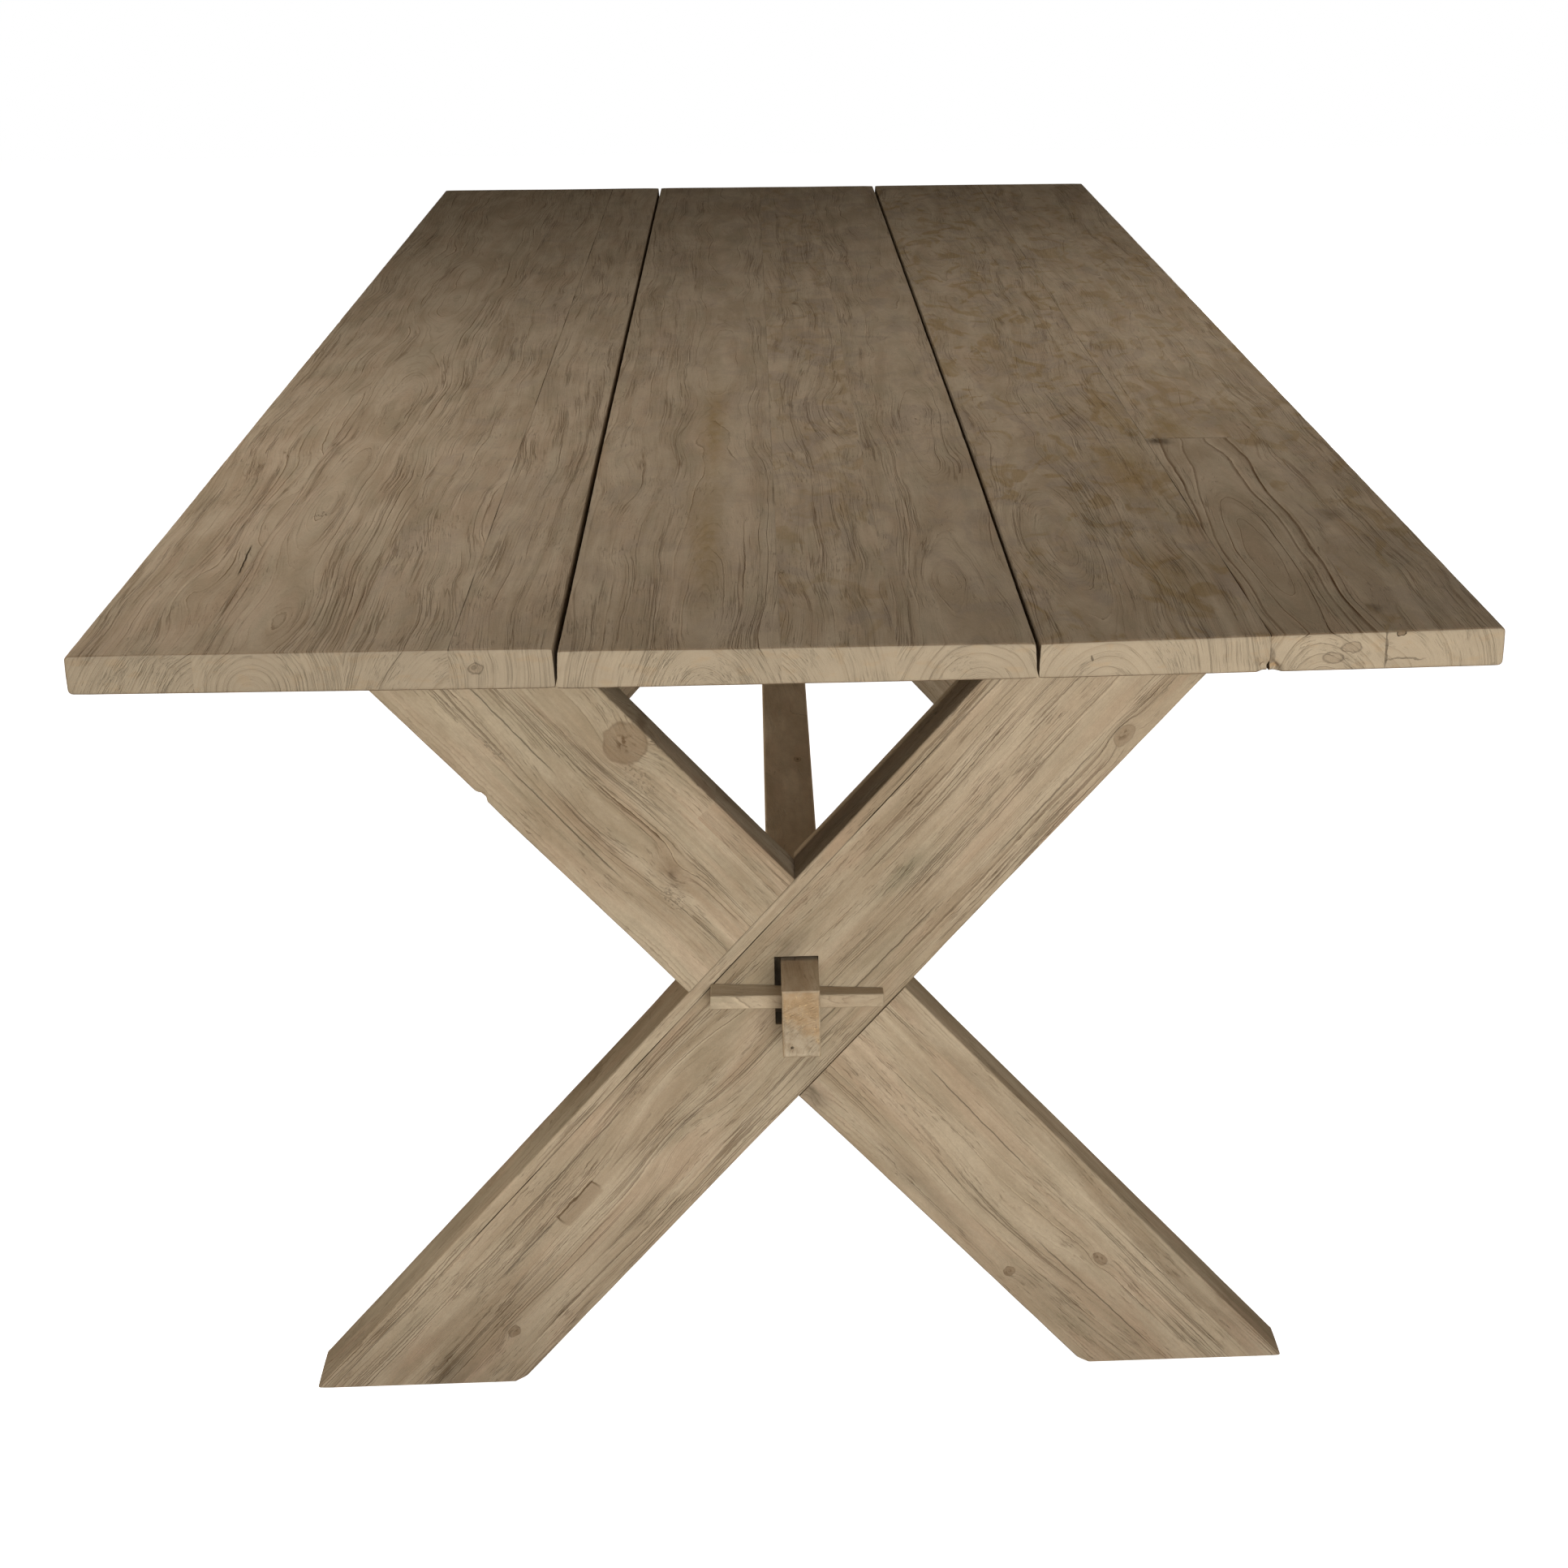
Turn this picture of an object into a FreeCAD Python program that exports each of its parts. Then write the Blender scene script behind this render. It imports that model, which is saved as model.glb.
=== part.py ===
import FreeCAD, Part
import math
import os

# Sawbuck table: a top of three edge-glued planks on two X-shaped trestles, which a
# keyed stretcher ties together. Each trestle is a half-lapped pair of boards.
#
# Frame: millimetres, +Z up, the table's length along Y and its width along X. The origin
# is on the floor under the middle of the table. The front trestle stands at -Y, and the
# rear trestle is the same trestle given half a turn about Z.

V = FreeCAD.Vector

# ------------------------------------------------------------------ driving sizes, mm
table_height = 765.0
top_length = 2340.0
top_thickness = 29.0
top_arris_round = 3.0

# Staves of each plank, glued edge to edge, from -X to +X.
plank_stave_widths = (
    (86.5, 102.5, 72.0, 71.5),
    (154.5, 80.5, 97.0),
    (161.5, 81.5, 85.5),
)
plank_gap = 3.5              # open gap between two planks, at the upper face
plank_gap_below = 1.0        # the same gap at the lower face, where it nearly closes
jointed_stave = "plank_3_stave_2"    # the one stave that is made of two lengths
stave_butt_from_front = 590.0

# Trestles: an X of two boards. The over board runs unbroken across the outer face, and
# the under board is let into it from behind.
trestle_setback = 248.0      # from the end of the top to the trestle's outer face
leg_slope = 48.0             # degrees, board to floor
leg_width = 135.0
over_leg_thickness = 60.0
under_leg_thickness = 47.0
crossing_height = 378.0
lap_depth = 23.5             # how much of the over board is left at the crossing
lap_clearance = 0.3
leg_arris_round = 2.0
heel_bevel = 7.0
over_strip_width = 10.0      # strip glued along the upper edge of the over board
under_strip_width = 20.0     # strip glued along the upper edge of the under board
under_upper_strip_length = 213.0     # that strip is two lengths, and this one is at the head

# Rails under the planks. A stub on each leg's top is glued into the trestle's rail.
rail_height = 35.0
trestle_rail_depth = 95.0
middle_rail_depth = 70.0
rail_end_setback = 30.0      # from the edge of the top to the rail's end
rail_end_bevel = 22.0
rail_arris_round = 2.0
stub_height = 18.0
stub_thickness = 22.0
stub_shoulder = 24.0
stub_clearance = 0.3

# Hexagon-headed wood screws up through the rails into the planks. A trestle's rail has two
# to a plank, and the middle rail has one.
screw_shank = 6.0
screw_head_flats = 10.0
screw_head_height = 4.0
screw_bite = 18.0            # how far a screw goes into its plank
screw_edge_distance = 60.0   # from the plank's edge
screw_rail_edge_distance = 17.5
screw_off_centre = 8.0       # keeps the middle rail's screws off the glue lines
screw_rail_clearance = 0.4
screw_pilot_clearance = 0.1

# Stretcher: a board on edge, with a through tenon at each end.
stretcher_width = 47.0
stretcher_height = 100.0
stretcher_arris_round = 2.0
mortise_width = 37.0
mortise_height = 63.0
tenon_tight_clearance = 0.5  # between tenon and mortise, on the tight side
tenon_loose_clearance = 5.5  # and on the other side
tenon_top_clearance = 3.0
tenon_projection = 63.5
tenon_end_round = 3.5

# Wedge: a flat key through the tenon. It bears on the leg along its inner face, and the
# taper of its outer face draws the stretcher's shoulder up tight.
wedge_length = 145.0
wedge_thick_end = 25.0
wedge_thin_end = 13.7
wedge_height = 12.0
wedge_tilt = 3.0             # degrees, thick end up
wedge_arris_bevel = 0.8
slot_clearance = 0.4         # above and below the wedge
slot_draw = 9.0              # how far the slot runs on behind the leg's face

# ------------------------------------------------------------------ sizes worked out
top_width = sum(map(sum, plank_stave_widths)) + plank_gap * (len(plank_stave_widths) - 1)
top_underside = table_height - top_thickness
rail_underside = top_underside - rail_height
front_end = -top_length / 2
rear_end = top_length / 2
leg_face = front_end + trestle_setback
mortise_floor = crossing_height - mortise_height / 2
tenon_width = mortise_width - tenon_tight_clearance - tenon_loose_clearance
tenon_height = mortise_height - tenon_top_clearance
tenon_centre_x = mortise_width / 2 - tenon_tight_clearance - tenon_width / 2
tenon_centre_z = mortise_floor + tenon_height / 2
shoulder_face = leg_face + under_leg_thickness
leg_reach = table_height / math.sin(math.radians(leg_slope))
over_turn = -leg_slope
under_turn = leg_slope
overcut = 1.0                # how far a cutting shape runs on past the face that it cuts
nearly_zero = 1e-6


# ------------------------------------------------------------------ helpers
def block(x_range, y_range, z_range):
    """Box from its lowest to its highest X, Y and Z."""
    size = [high - low for low, high in (x_range, y_range, z_range)]
    return Part.makeBox(size[0], size[1], size[2], V(x_range[0], y_range[0], z_range[0]))


def around(centre, size):
    """Range of the given size about a centre."""
    return centre - size / 2, centre + size / 2


def rounded(shape, radius, picks):
    """Shape with a round of this radius on the edges that picks() accepts."""
    return shape.makeFillet(radius, [edge for edge in shape.Edges if picks(edge)])


def runs_along(edge, axis):
    """True where a straight edge is parallel to the axis."""
    span = edge.Vertexes[-1].Point - edge.Vertexes[0].Point
    return span.Length > 0 and abs(abs(span.dot(axis)) - span.Length) < nearly_zero


def half_turned(shape):
    """The same shape at the other end of the table."""
    turned = shape.copy()
    turned.rotate(V(0, 0, 0), V(0, 0, 1), 180)
    return turned


def solid_of(shape):
    """The one solid that a cut or a common leaves."""
    assert len(shape.Solids) == 1, "expected one solid, found %d" % len(shape.Solids)
    return shape.Solids[0]


def save(name, *solids):
    """Write one node's STEP file."""
    shape = solids[0] if len(solids) == 1 else Part.makeCompound(list(solids))
    shape.exportStep("parts/%s.step" % name)


# ------------------------------------------------------------------ top
def plank_edges():
    """Lowest and highest X of each plank at the upper face."""
    edges = []
    x = -top_width / 2
    for widths in plank_stave_widths:
        edges.append((x, x + sum(widths)))
        x += sum(widths) + plank_gap
    return edges


def stave(plank, number):
    """One stave over the whole length. A plank's edges at a gap lean towards each other."""
    widths = plank_stave_widths[plank - 1]
    left = plank_edges()[plank - 1][0] + sum(widths[:number - 1])
    right = left + widths[number - 1]
    lean = (plank_gap - plank_gap_below) / 2
    at_left_gap = number == 1 and plank > 1
    at_right_gap = number == len(widths) and plank < len(plank_stave_widths)
    low_left = left - lean if at_left_gap else left
    low_right = right + lean if at_right_gap else right
    section = Part.makePolygon([
        V(low_left, front_end, top_underside),
        V(low_right, front_end, top_underside),
        V(right, front_end, table_height),
        V(left, front_end, table_height),
        V(low_left, front_end, top_underside),
    ])
    body = Part.Face(section).extrude(V(0, top_length, 0))
    side = top_width / 2

    def on_outline(edge):
        middle = edge.valueAt((edge.FirstParameter + edge.LastParameter) / 2)
        on_side = abs(abs(middle.x) - side) < nearly_zero
        on_end = abs(abs(middle.y) - rear_end) < nearly_zero
        return on_side or (on_end and runs_along(edge, V(1, 0, 0)))

    return rounded(body, top_arris_round, on_outline)


def screw_rows():
    """X and Y of the screws in each rail, front to rear."""
    row_y = leg_face + trestle_rail_depth - screw_rail_edge_distance
    paired = [x for left, right in plank_edges()
              for x in (left + screw_edge_distance, right - screw_edge_distance)]
    single = [(left + right) / 2 + screw_off_centre for left, right in plank_edges()]
    return {
        "front": [(x, row_y) for x in paired],
        "middle": [(x, 0.0) for x in single],
        "rear": [(x, -row_y) for x in paired],
    }


def upright_cylinder(diameter, x, y, z_range):
    return Part.makeCylinder(diameter / 2, z_range[1] - z_range[0], V(x, y, z_range[0]))


def pilot_holes():
    """Blind holes in the planks for all the screws."""
    hole = screw_shank + 2 * screw_pilot_clearance
    depth = (top_underside - overcut, top_underside + screw_bite + screw_pilot_clearance)
    return [upright_cylinder(hole, x, y, depth)
            for row in screw_rows().values() for x, y in row]


def make_top():
    holes = pilot_holes()
    for plank, widths in enumerate(plank_stave_widths, start=1):
        for number in range(1, len(widths) + 1):
            body = stave(plank, number)
            near = [hole for hole in holes if hole.BoundBox.intersect(body.BoundBox)]
            body = solid_of(body.cut(near))
            name = "plank_%d_stave_%d" % (plank, number)
            if name != jointed_stave:
                save(name, body)
                continue
            butt = front_end + stave_butt_from_front
            wide = (-top_width, top_width)
            tall = (0, 2 * table_height)
            save(name + "_front", solid_of(body.common(block(wide, (front_end, butt), tall))))
            save(name + "_rear", solid_of(body.common(block(wide, (butt, rear_end), tall))))


# ------------------------------------------------------------------ rails and screws
def rail(y_range):
    """Rail across the planks, bevelled under both ends."""
    end = top_width / 2 - rail_end_setback
    bevel = min(rail_end_bevel, rail_height - rail_arris_round)
    section = Part.makePolygon([
        V(-end, y_range[0], top_underside),
        V(-end, y_range[0], rail_underside + bevel),
        V(bevel - end, y_range[0], rail_underside),
        V(end - bevel, y_range[0], rail_underside),
        V(end, y_range[0], rail_underside + bevel),
        V(end, y_range[0], top_underside),
        V(-end, y_range[0], top_underside),
    ])
    body = Part.Face(section).extrude(V(0, y_range[1] - y_range[0], 0))
    return rounded(body, rail_arris_round,
                   lambda edge: edge.BoundBox.ZMax < rail_underside + nearly_zero
                   and runs_along(edge, V(1, 0, 0)))


def screw_holes(row):
    """Clearance holes for one rail's row of screws."""
    shank = screw_shank + 2 * screw_rail_clearance
    through = (rail_underside - overcut, top_underside + overcut)
    return [upright_cylinder(shank, x, y, through) for x, y in row]


def screw(x, y):
    """Wood screw whose hexagonal head bears on the rail's underside."""
    corner = screw_head_flats / 2 / math.cos(math.pi / 6)
    low = rail_underside - screw_head_height
    corners = [V(x + corner * math.cos(turn), y + corner * math.sin(turn), low)
               for turn in (math.pi / 3 * side for side in range(7))]
    head = Part.Face(Part.makePolygon(corners)).extrude(V(0, 0, screw_head_height))
    shank = upright_cylinder(screw_shank, x, y, (rail_underside, top_underside + screw_bite))
    return solid_of(head.fuse(shank))


def make_rails():
    stub_mortises = [leg_stub(turn, stub_clearance) for turn in (over_turn, under_turn)]
    trestle_rail = rail((leg_face, leg_face + trestle_rail_depth)).cut(stub_mortises)
    blanks = {
        "front": trestle_rail,
        "middle": rail(around(0, middle_rail_depth)),
        "rear": half_turned(trestle_rail),
    }
    for place, row in screw_rows().items():
        save(place + "_rail", solid_of(blanks[place].cut(screw_holes(row))))
        save(place + "_rail_screws", *[screw(x, y) for x, y in row])


# ------------------------------------------------------------------ trestle
def in_leg_frame(shape, turn):
    """Turn a shape that is drawn level about the crossing to a leg's slope."""
    turned = shape.copy()
    turned.rotate(V(0, 0, crossing_height), V(0, 1, 0), turn)
    return turned


def level_board(u_range, y_range, v_range):
    """Part of a board drawn level: u runs along it from the crossing, v up across it."""
    low, high = (crossing_height + v for v in v_range)
    return block(u_range, y_range, (low, high))


def leg_board(turn, width, y_range, z_range, arris_round=0.0):
    """Sloping board through the crossing, cut level at its foot and its top."""
    board = level_board((-leg_reach, leg_reach), y_range, around(0, width))
    if arris_round > 0:
        board = rounded(board, arris_round, lambda edge: runs_along(edge, V(1, 0, 0)))
    reach = (-2 * leg_reach, 2 * leg_reach)
    return in_leg_frame(board, turn).common(block(reach, y_range, z_range))


def leg_stub(turn, clearance=0.0):
    """Stub on a leg's top, or with a clearance the mortise that it fits."""
    middle = leg_face + min(over_leg_thickness, under_leg_thickness) / 2
    width = leg_width - 2 * stub_shoulder + 2 * clearance
    y_range = around(middle, stub_thickness + 2 * clearance)
    z_range = (rail_underside - clearance, rail_underside + stub_height + clearance)
    return leg_board(turn, width, y_range, z_range)


def heel_cut(turn):
    """Small prism that bevels the heel, where the leg's lower edge meets the floor."""
    slope = math.radians(leg_slope)
    outward = math.copysign(1, turn)
    heel_x = crossing_height / math.tan(slope) - leg_width / 2 / math.sin(slope)
    heel = V(outward * heel_x, leg_face - overcut, 0)
    along_floor = V(outward * heel_bevel, 0, 0)
    up_edge = V(-outward * heel_bevel * math.cos(slope), 0, heel_bevel * math.sin(slope))
    corner = Part.makePolygon([heel, heel + along_floor, heel + up_edge, heel])
    return Part.Face(corner).extrude(V(0, over_leg_thickness + under_leg_thickness, 0))


def full_leg(turn, thickness):
    """Whole leg before its lap is cut: board with a bevelled heel, and stub."""
    y_range = (leg_face, leg_face + thickness)
    board = leg_board(turn, leg_width, y_range, (0, rail_underside), leg_arris_round)
    return board.cut(heel_cut(turn)).fuse(leg_stub(turn))


def split_along(leg, turn, strip_width):
    """Board and the strip along its upper edge, parted at their glue line."""
    reach = (-2 * leg_reach, 2 * leg_reach)
    deep = (leg_face - overcut, leg_face + over_leg_thickness + under_leg_thickness)
    glue_line = leg_width / 2 - strip_width
    lower = in_leg_frame(level_board(reach, deep, (-leg_width, glue_line)), turn)
    upper = in_leg_frame(level_board(reach, deep, (glue_line, leg_width)), turn)
    return solid_of(leg.common(lower)), solid_of(leg.common(upper))


def make_trestles():
    reach = (-leg_reach, leg_reach)
    lap_floor = leg_face + lap_depth
    behind = (lap_floor, leg_face + over_leg_thickness + overcut)
    ahead = (leg_face - overcut, lap_floor)
    housing = around(0, leg_width + 2 * lap_clearance)
    under_housing = in_leg_frame(level_board(reach, behind, housing), under_turn)
    over_housing = in_leg_frame(level_board(reach, ahead, housing), over_turn)
    mortise = block(around(0, mortise_width),
                    (leg_face - overcut, leg_face + over_leg_thickness + overcut),
                    around(crossing_height, mortise_height))

    over = full_leg(over_turn, over_leg_thickness).cut([under_housing, mortise])
    over_board, over_strip = split_along(over, over_turn, over_strip_width)
    under = full_leg(under_turn, under_leg_thickness).cut([over_housing, mortise])
    under_board, under_strip = split_along(under, under_turn, under_strip_width)

    slope = math.radians(leg_slope)
    strip_middle = (leg_width - under_strip_width) / 2
    head = (rail_underside - crossing_height - strip_middle * math.cos(slope)) / math.sin(slope)
    joint = under_upper_strip_length - head
    deep = (leg_face - overcut, leg_face + under_leg_thickness + overcut)
    across = (-leg_width, leg_width)
    above_joint = in_leg_frame(level_board((-2 * leg_reach, joint), deep, across), under_turn)
    below_joint = in_leg_frame(level_board((joint, 2 * leg_reach), deep, across), under_turn)

    pieces = {
        "leg_over": over_board,
        "leg_over_edge_strip": over_strip,
        "leg_under": under_board,
        "leg_under_upper_strip": solid_of(under_strip.common(above_joint)),
        "leg_under_lower_strip": solid_of(under_strip.common(below_joint)),
    }
    for name, piece in pieces.items():
        save("front_" + name, piece)
        save("rear_" + name, half_turned(piece))


# ------------------------------------------------------------------ stretcher and wedges
def wedge_blank(length, inner_face, height):
    """Level wedge, thick towards -X, with its flat inner face at the given Y."""
    taper = (wedge_thick_end - wedge_thin_end) / wedge_length
    middle = (wedge_thick_end + wedge_thin_end) / 2
    half = length / 2
    bottom = tenon_centre_z - height / 2
    outline = Part.makePolygon([
        V(-half, inner_face, bottom),
        V(-half, leg_face - middle - taper * half, bottom),
        V(half, leg_face - middle + taper * half, bottom),
        V(half, inner_face, bottom),
        V(-half, inner_face, bottom),
    ])
    return Part.Face(outline).extrude(V(0, 0, height))


def tilted(shape):
    """Tip a wedge, or its slot, with its thick end up."""
    turned = shape.copy()
    turned.rotate(V(0, 0, tenon_centre_z), V(0, 1, 0), wedge_tilt)
    return turned


def make_wedges():
    blank = wedge_blank(wedge_length, leg_face, wedge_height)
    wedge = tilted(blank.makeChamfer(wedge_arris_bevel, blank.Edges))
    save("front_wedge", wedge)
    save("rear_wedge", half_turned(wedge))


def make_stretcher():
    body = block(around(0, stretcher_width), (shoulder_face, -shoulder_face),
                 around(crossing_height, stretcher_height))
    body = rounded(body, stretcher_arris_round, lambda edge: runs_along(edge, V(0, 1, 0)))
    tenon_end = leg_face - tenon_projection
    tenon = block(around(tenon_centre_x, tenon_width), (tenon_end, shoulder_face),
                  around(tenon_centre_z, tenon_height))
    tenon = rounded(tenon, tenon_end_round,
                    lambda edge: edge.BoundBox.YMax < tenon_end + nearly_zero)
    slot = tilted(wedge_blank(wedge_length, leg_face + slot_draw,
                              wedge_height + 2 * slot_clearance))
    tenon = tenon.cut(slot)
    save("stretcher", solid_of(body.fuse([tenon, half_turned(tenon)])))


# ------------------------------------------------------------------ build
os.makedirs("parts", exist_ok=True)
make_top()
make_rails()
make_trestles()
make_stretcher()
make_wedges()
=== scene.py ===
"""Sawbuck dining table: worn timber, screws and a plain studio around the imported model."""

import math

import bmesh
import bpy
from bpy.props import FloatProperty, FloatVectorProperty, PointerProperty
from mathutils import Matrix, Vector, noise


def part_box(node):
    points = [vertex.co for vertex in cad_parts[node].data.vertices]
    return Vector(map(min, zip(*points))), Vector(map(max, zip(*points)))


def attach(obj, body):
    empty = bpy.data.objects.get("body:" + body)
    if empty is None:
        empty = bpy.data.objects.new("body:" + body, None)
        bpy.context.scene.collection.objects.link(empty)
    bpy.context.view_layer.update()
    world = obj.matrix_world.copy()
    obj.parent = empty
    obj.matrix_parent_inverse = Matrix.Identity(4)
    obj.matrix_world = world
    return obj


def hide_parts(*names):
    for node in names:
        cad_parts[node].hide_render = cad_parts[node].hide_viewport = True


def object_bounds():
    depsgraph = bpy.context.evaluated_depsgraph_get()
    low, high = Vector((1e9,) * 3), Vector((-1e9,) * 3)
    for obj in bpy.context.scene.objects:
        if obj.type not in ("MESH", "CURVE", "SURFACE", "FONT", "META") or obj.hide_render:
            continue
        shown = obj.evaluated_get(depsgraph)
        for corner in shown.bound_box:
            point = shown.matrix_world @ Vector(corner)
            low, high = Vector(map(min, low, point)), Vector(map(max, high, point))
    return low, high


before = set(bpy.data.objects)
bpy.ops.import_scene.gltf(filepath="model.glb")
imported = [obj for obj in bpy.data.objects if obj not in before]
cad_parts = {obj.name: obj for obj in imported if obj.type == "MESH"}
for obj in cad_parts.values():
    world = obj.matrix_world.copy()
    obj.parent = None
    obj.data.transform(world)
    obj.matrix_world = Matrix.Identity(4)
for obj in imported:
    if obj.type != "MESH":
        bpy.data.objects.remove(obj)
CAD_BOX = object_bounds()

bl_info = {
    "name": "Sawbuck table",
    "version": (1, 0, 0),
    "blender": (4, 5, 0),
    "location": "3D View > Sidebar > Sawbuck",
    "description": "Makes the worn timber pieces of a sawbuck table and the studio round it",
    "category": "Add Mesh",
}

MM = 0.001
LEG_SLOPE = math.radians(48)
WEDGE_TILT = math.radians(3)
CROSSING_HEIGHT = 0.378
LEG_HALF_WIDTH = 0.0675
FLOOR_GAP = 0.0005
FLOOR_GLOW = 0.96
FLOOR_BOUNCE = (0.27, 0.20, 0.125)
# How high above the floor the legs get painted shade, darker towards the foot.
FOOT_SHADE_HEIGHT = 0.21
GRAIN_DEPTH = 0.0006
SHARP_ANGLE = math.radians(38)
FLAT_ANGLE = math.radians(0.4)
MERGE_DISTANCE = 1e-6
SHORTEST_EDGE = 1e-5
OUTER_CELL = 0.004
HALF_TURN = Matrix.Rotation(math.pi, 4, "Z")

PLANKS = {
    "plank_1": ("plank_1_stave_1", "plank_1_stave_2", "plank_1_stave_3", "plank_1_stave_4"),
    "plank_2": ("plank_2_stave_1", "plank_2_stave_2", "plank_2_stave_3"),
    "plank_3": (
        "plank_3_stave_1", "plank_3_stave_2_front", "plank_3_stave_2_rear", "plank_3_stave_3",
    ),
}
RAILS = ("front_rail", "middle_rail", "rear_rail")
LEG_PIECES = (
    "leg_over", "leg_over_edge_strip", "leg_under", "leg_under_upper_strip",
    "leg_under_lower_strip",
)
WEDGES = ("front_wedge", "rear_wedge")


def tint(red, green, blue):
    """A colour from 0 to 255 as it looks on a screen, turned into the values that shaders use."""
    return tuple(
        part / 12.92 if part <= 0.04045 else ((part + 0.055) / 1.055) ** 2.4
        for part in (red / 255, green / 255, blue / 255)
    )


GLEAM = tint(226, 198, 150)
CHIPPED = tint(206, 190, 164)
STAINED_ZINC = tint(98, 92, 84)


def colour_setting(name, description, default):
    return FloatVectorProperty(
        name=name, description=description, default=default, subtype="COLOR", min=0, max=1
    )


def length_setting(name, description, default, least, most):
    return FloatProperty(
        name=name, description=description, default=default, min=least, max=most, unit="LENGTH"
    )


def power_setting(name, description, default):
    return FloatProperty(
        name=name, description=description, default=default, min=0, max=2000, unit="POWER"
    )


class TimberColours(bpy.types.PropertyGroup):
    """Colours of the weathered wood and of the screws."""

    pale: colour_setting("Pale wood", "Dry, pale ground of the wood", tint(171, 155, 131))
    deep: colour_setting("Deep wood", "Brown-grey ground of the wood", tint(147, 129, 105))
    top_pale: colour_setting("Pale top", "Pale ground of the top", tint(164, 146, 122))
    top_deep: colour_setting("Deep top", "Brown ground of the top", tint(147, 128, 104))
    end_pale: colour_setting("Pale end grain", "End grain between rings", tint(174, 158, 134))
    end_deep: colour_setting("Deep end grain", "End grain along rings", tint(146, 128, 103))
    line: colour_setting("Growth line", "Dark line at each year ring", tint(88, 66, 45))
    ochre: colour_setting("Ochre stain", "Yellow-brown stains in the top", tint(132, 106, 66))
    pink: colour_setting("Pink streak", "Rosy streaks along the legs", tint(182, 149, 124))
    moss: colour_setting("Grey streak", "Grey-green streaks", tint(126, 118, 96))
    knot: colour_setting("Knot", "Heart of a knot", tint(116, 95, 72))
    # This colour also serves as painted shade inside the mortises and on the tenons that lie in
    # them.
    dirt_and_shade: colour_setting("Dirt", "Cracks, joints and worn hollows", tint(48, 37, 27))
    ash: colour_setting("Ashen veil", "Violet-grey clouds on the top", tint(138, 122, 106))
    gold: colour_setting("Raw end", "Golden end of the tenon", tint(176, 140, 96))
    steel: colour_setting("Screw steel", "Dull zinc of the screws", tint(128, 126, 122))


class WearSizes(bpy.types.PropertyGroup):
    """How far wear, drying and handling have moved the surfaces."""

    ripple: length_setting("Ripple", "Depth of the hand-planed ripple", 0.0006, 0, 0.003)
    edge: length_setting("Edge wear", "Most that a long edge is rubbed away", 0.0012, 0, 0.004)
    saw: length_setting("Saw marks", "Unevenness of the sawn ends", 0.0008, 0, 0.003)
    slice_along: length_setting(
        "Slice along", "Length of a mesh cell along the grain", 0.018, 0.004, 0.1
    )
    slice_across: length_setting(
        "Slice across", "Width of a mesh cell across the grain", 0.012, 0.004, 0.1
    )


class StudioSettings(bpy.types.PropertyGroup):
    """Camera, lamps and floor."""

    camera_place: FloatVectorProperty(
        name="Camera place", description="Where the camera stands", size=3,
        default=(-0.0230, -2.8120, 1.2908), subtype="XYZ", unit="LENGTH",
    )
    camera_turn: FloatVectorProperty(
        name="Camera turn", description="How the camera is turned", size=3,
        default=tuple(map(math.radians, (68.9414, 0.2115, -3.0839))), subtype="EULER",
    )
    lens: FloatProperty(
        name="Lens", description="Focal length in millimetres", default=57.055, min=10, max=200
    )
    shift: FloatProperty(
        name="Shift", description="Sideways shift of the lens", default=-0.0653, min=-1, max=1
    )
    front_power: power_setting("Front lamp", "Power of the wide lamp in front", 199)
    upper_power: power_setting("Upper lamps", "Power of the lamps above the top", 10.8)
    fill_power: power_setting("Fill lamps", "Power of the low lamps at the back and sides", 68)
    side_colour: colour_setting("Side colour", "Light of the side lamps", (1.0, 0.92, 0.80))
    sky: FloatProperty(
        name="Sky", description="Strength of the light from all sides", default=0.05, min=0, max=2
    )
    sky_colour: colour_setting("Sky colour", "Light from all sides", (1.0, 0.88, 0.72))
    floor_size: length_setting("Floor size", "Side of the square floor", 16, 2, 100)


# ---- board frames


def axes(across, along, origin):
    """Places a board: x across the grain, y along it and z out of its show face."""
    across = Vector(across)
    along = Vector(along)
    turn = Matrix((across, along, across.cross(along))).transposed().to_4x4()
    return Matrix.Translation(origin) @ turn


def board_frame(node):
    """The frame that a board was sawn and shaped in."""
    low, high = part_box(node)
    middle = (low + high) / 2
    if node.startswith("plank_"):
        return axes((1, 0, 0), (0, 1, 0), (middle.x, 0, high.z))
    if node.endswith("rail"):
        return axes((0, -1, 0), (1, 0, 0), (0, middle.y, high.z))
    if node == "stretcher":
        return axes((1, 0, 0), (0, 1, 0), (middle.x, 0, high.z))
    if node.endswith("wedge"):
        sine, cosine = math.sin(WEDGE_TILT), math.cos(WEDGE_TILT)
        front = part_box("front_wedge")
        centre = (front[0] + front[1]) / 2
        place = axes((sine, 0, cosine), (-cosine, 0, sine), (centre.x, front[0].y, centre.z))
    else:
        sine, cosine = math.sin(LEG_SLOPE), math.cos(LEG_SLOPE)
        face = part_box("front_leg_over")[0].y
        rise = sine if "leg_over" in node else -sine
        across = (sine, 0, -cosine) if rise > 0 else (-sine, 0, -cosine)
        place = axes(across, (cosine, 0, rise), (0, face, CROSSING_HEIGHT))
    return HALF_TURN @ place if node.startswith("rear") else place


# ---- shader language


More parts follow.
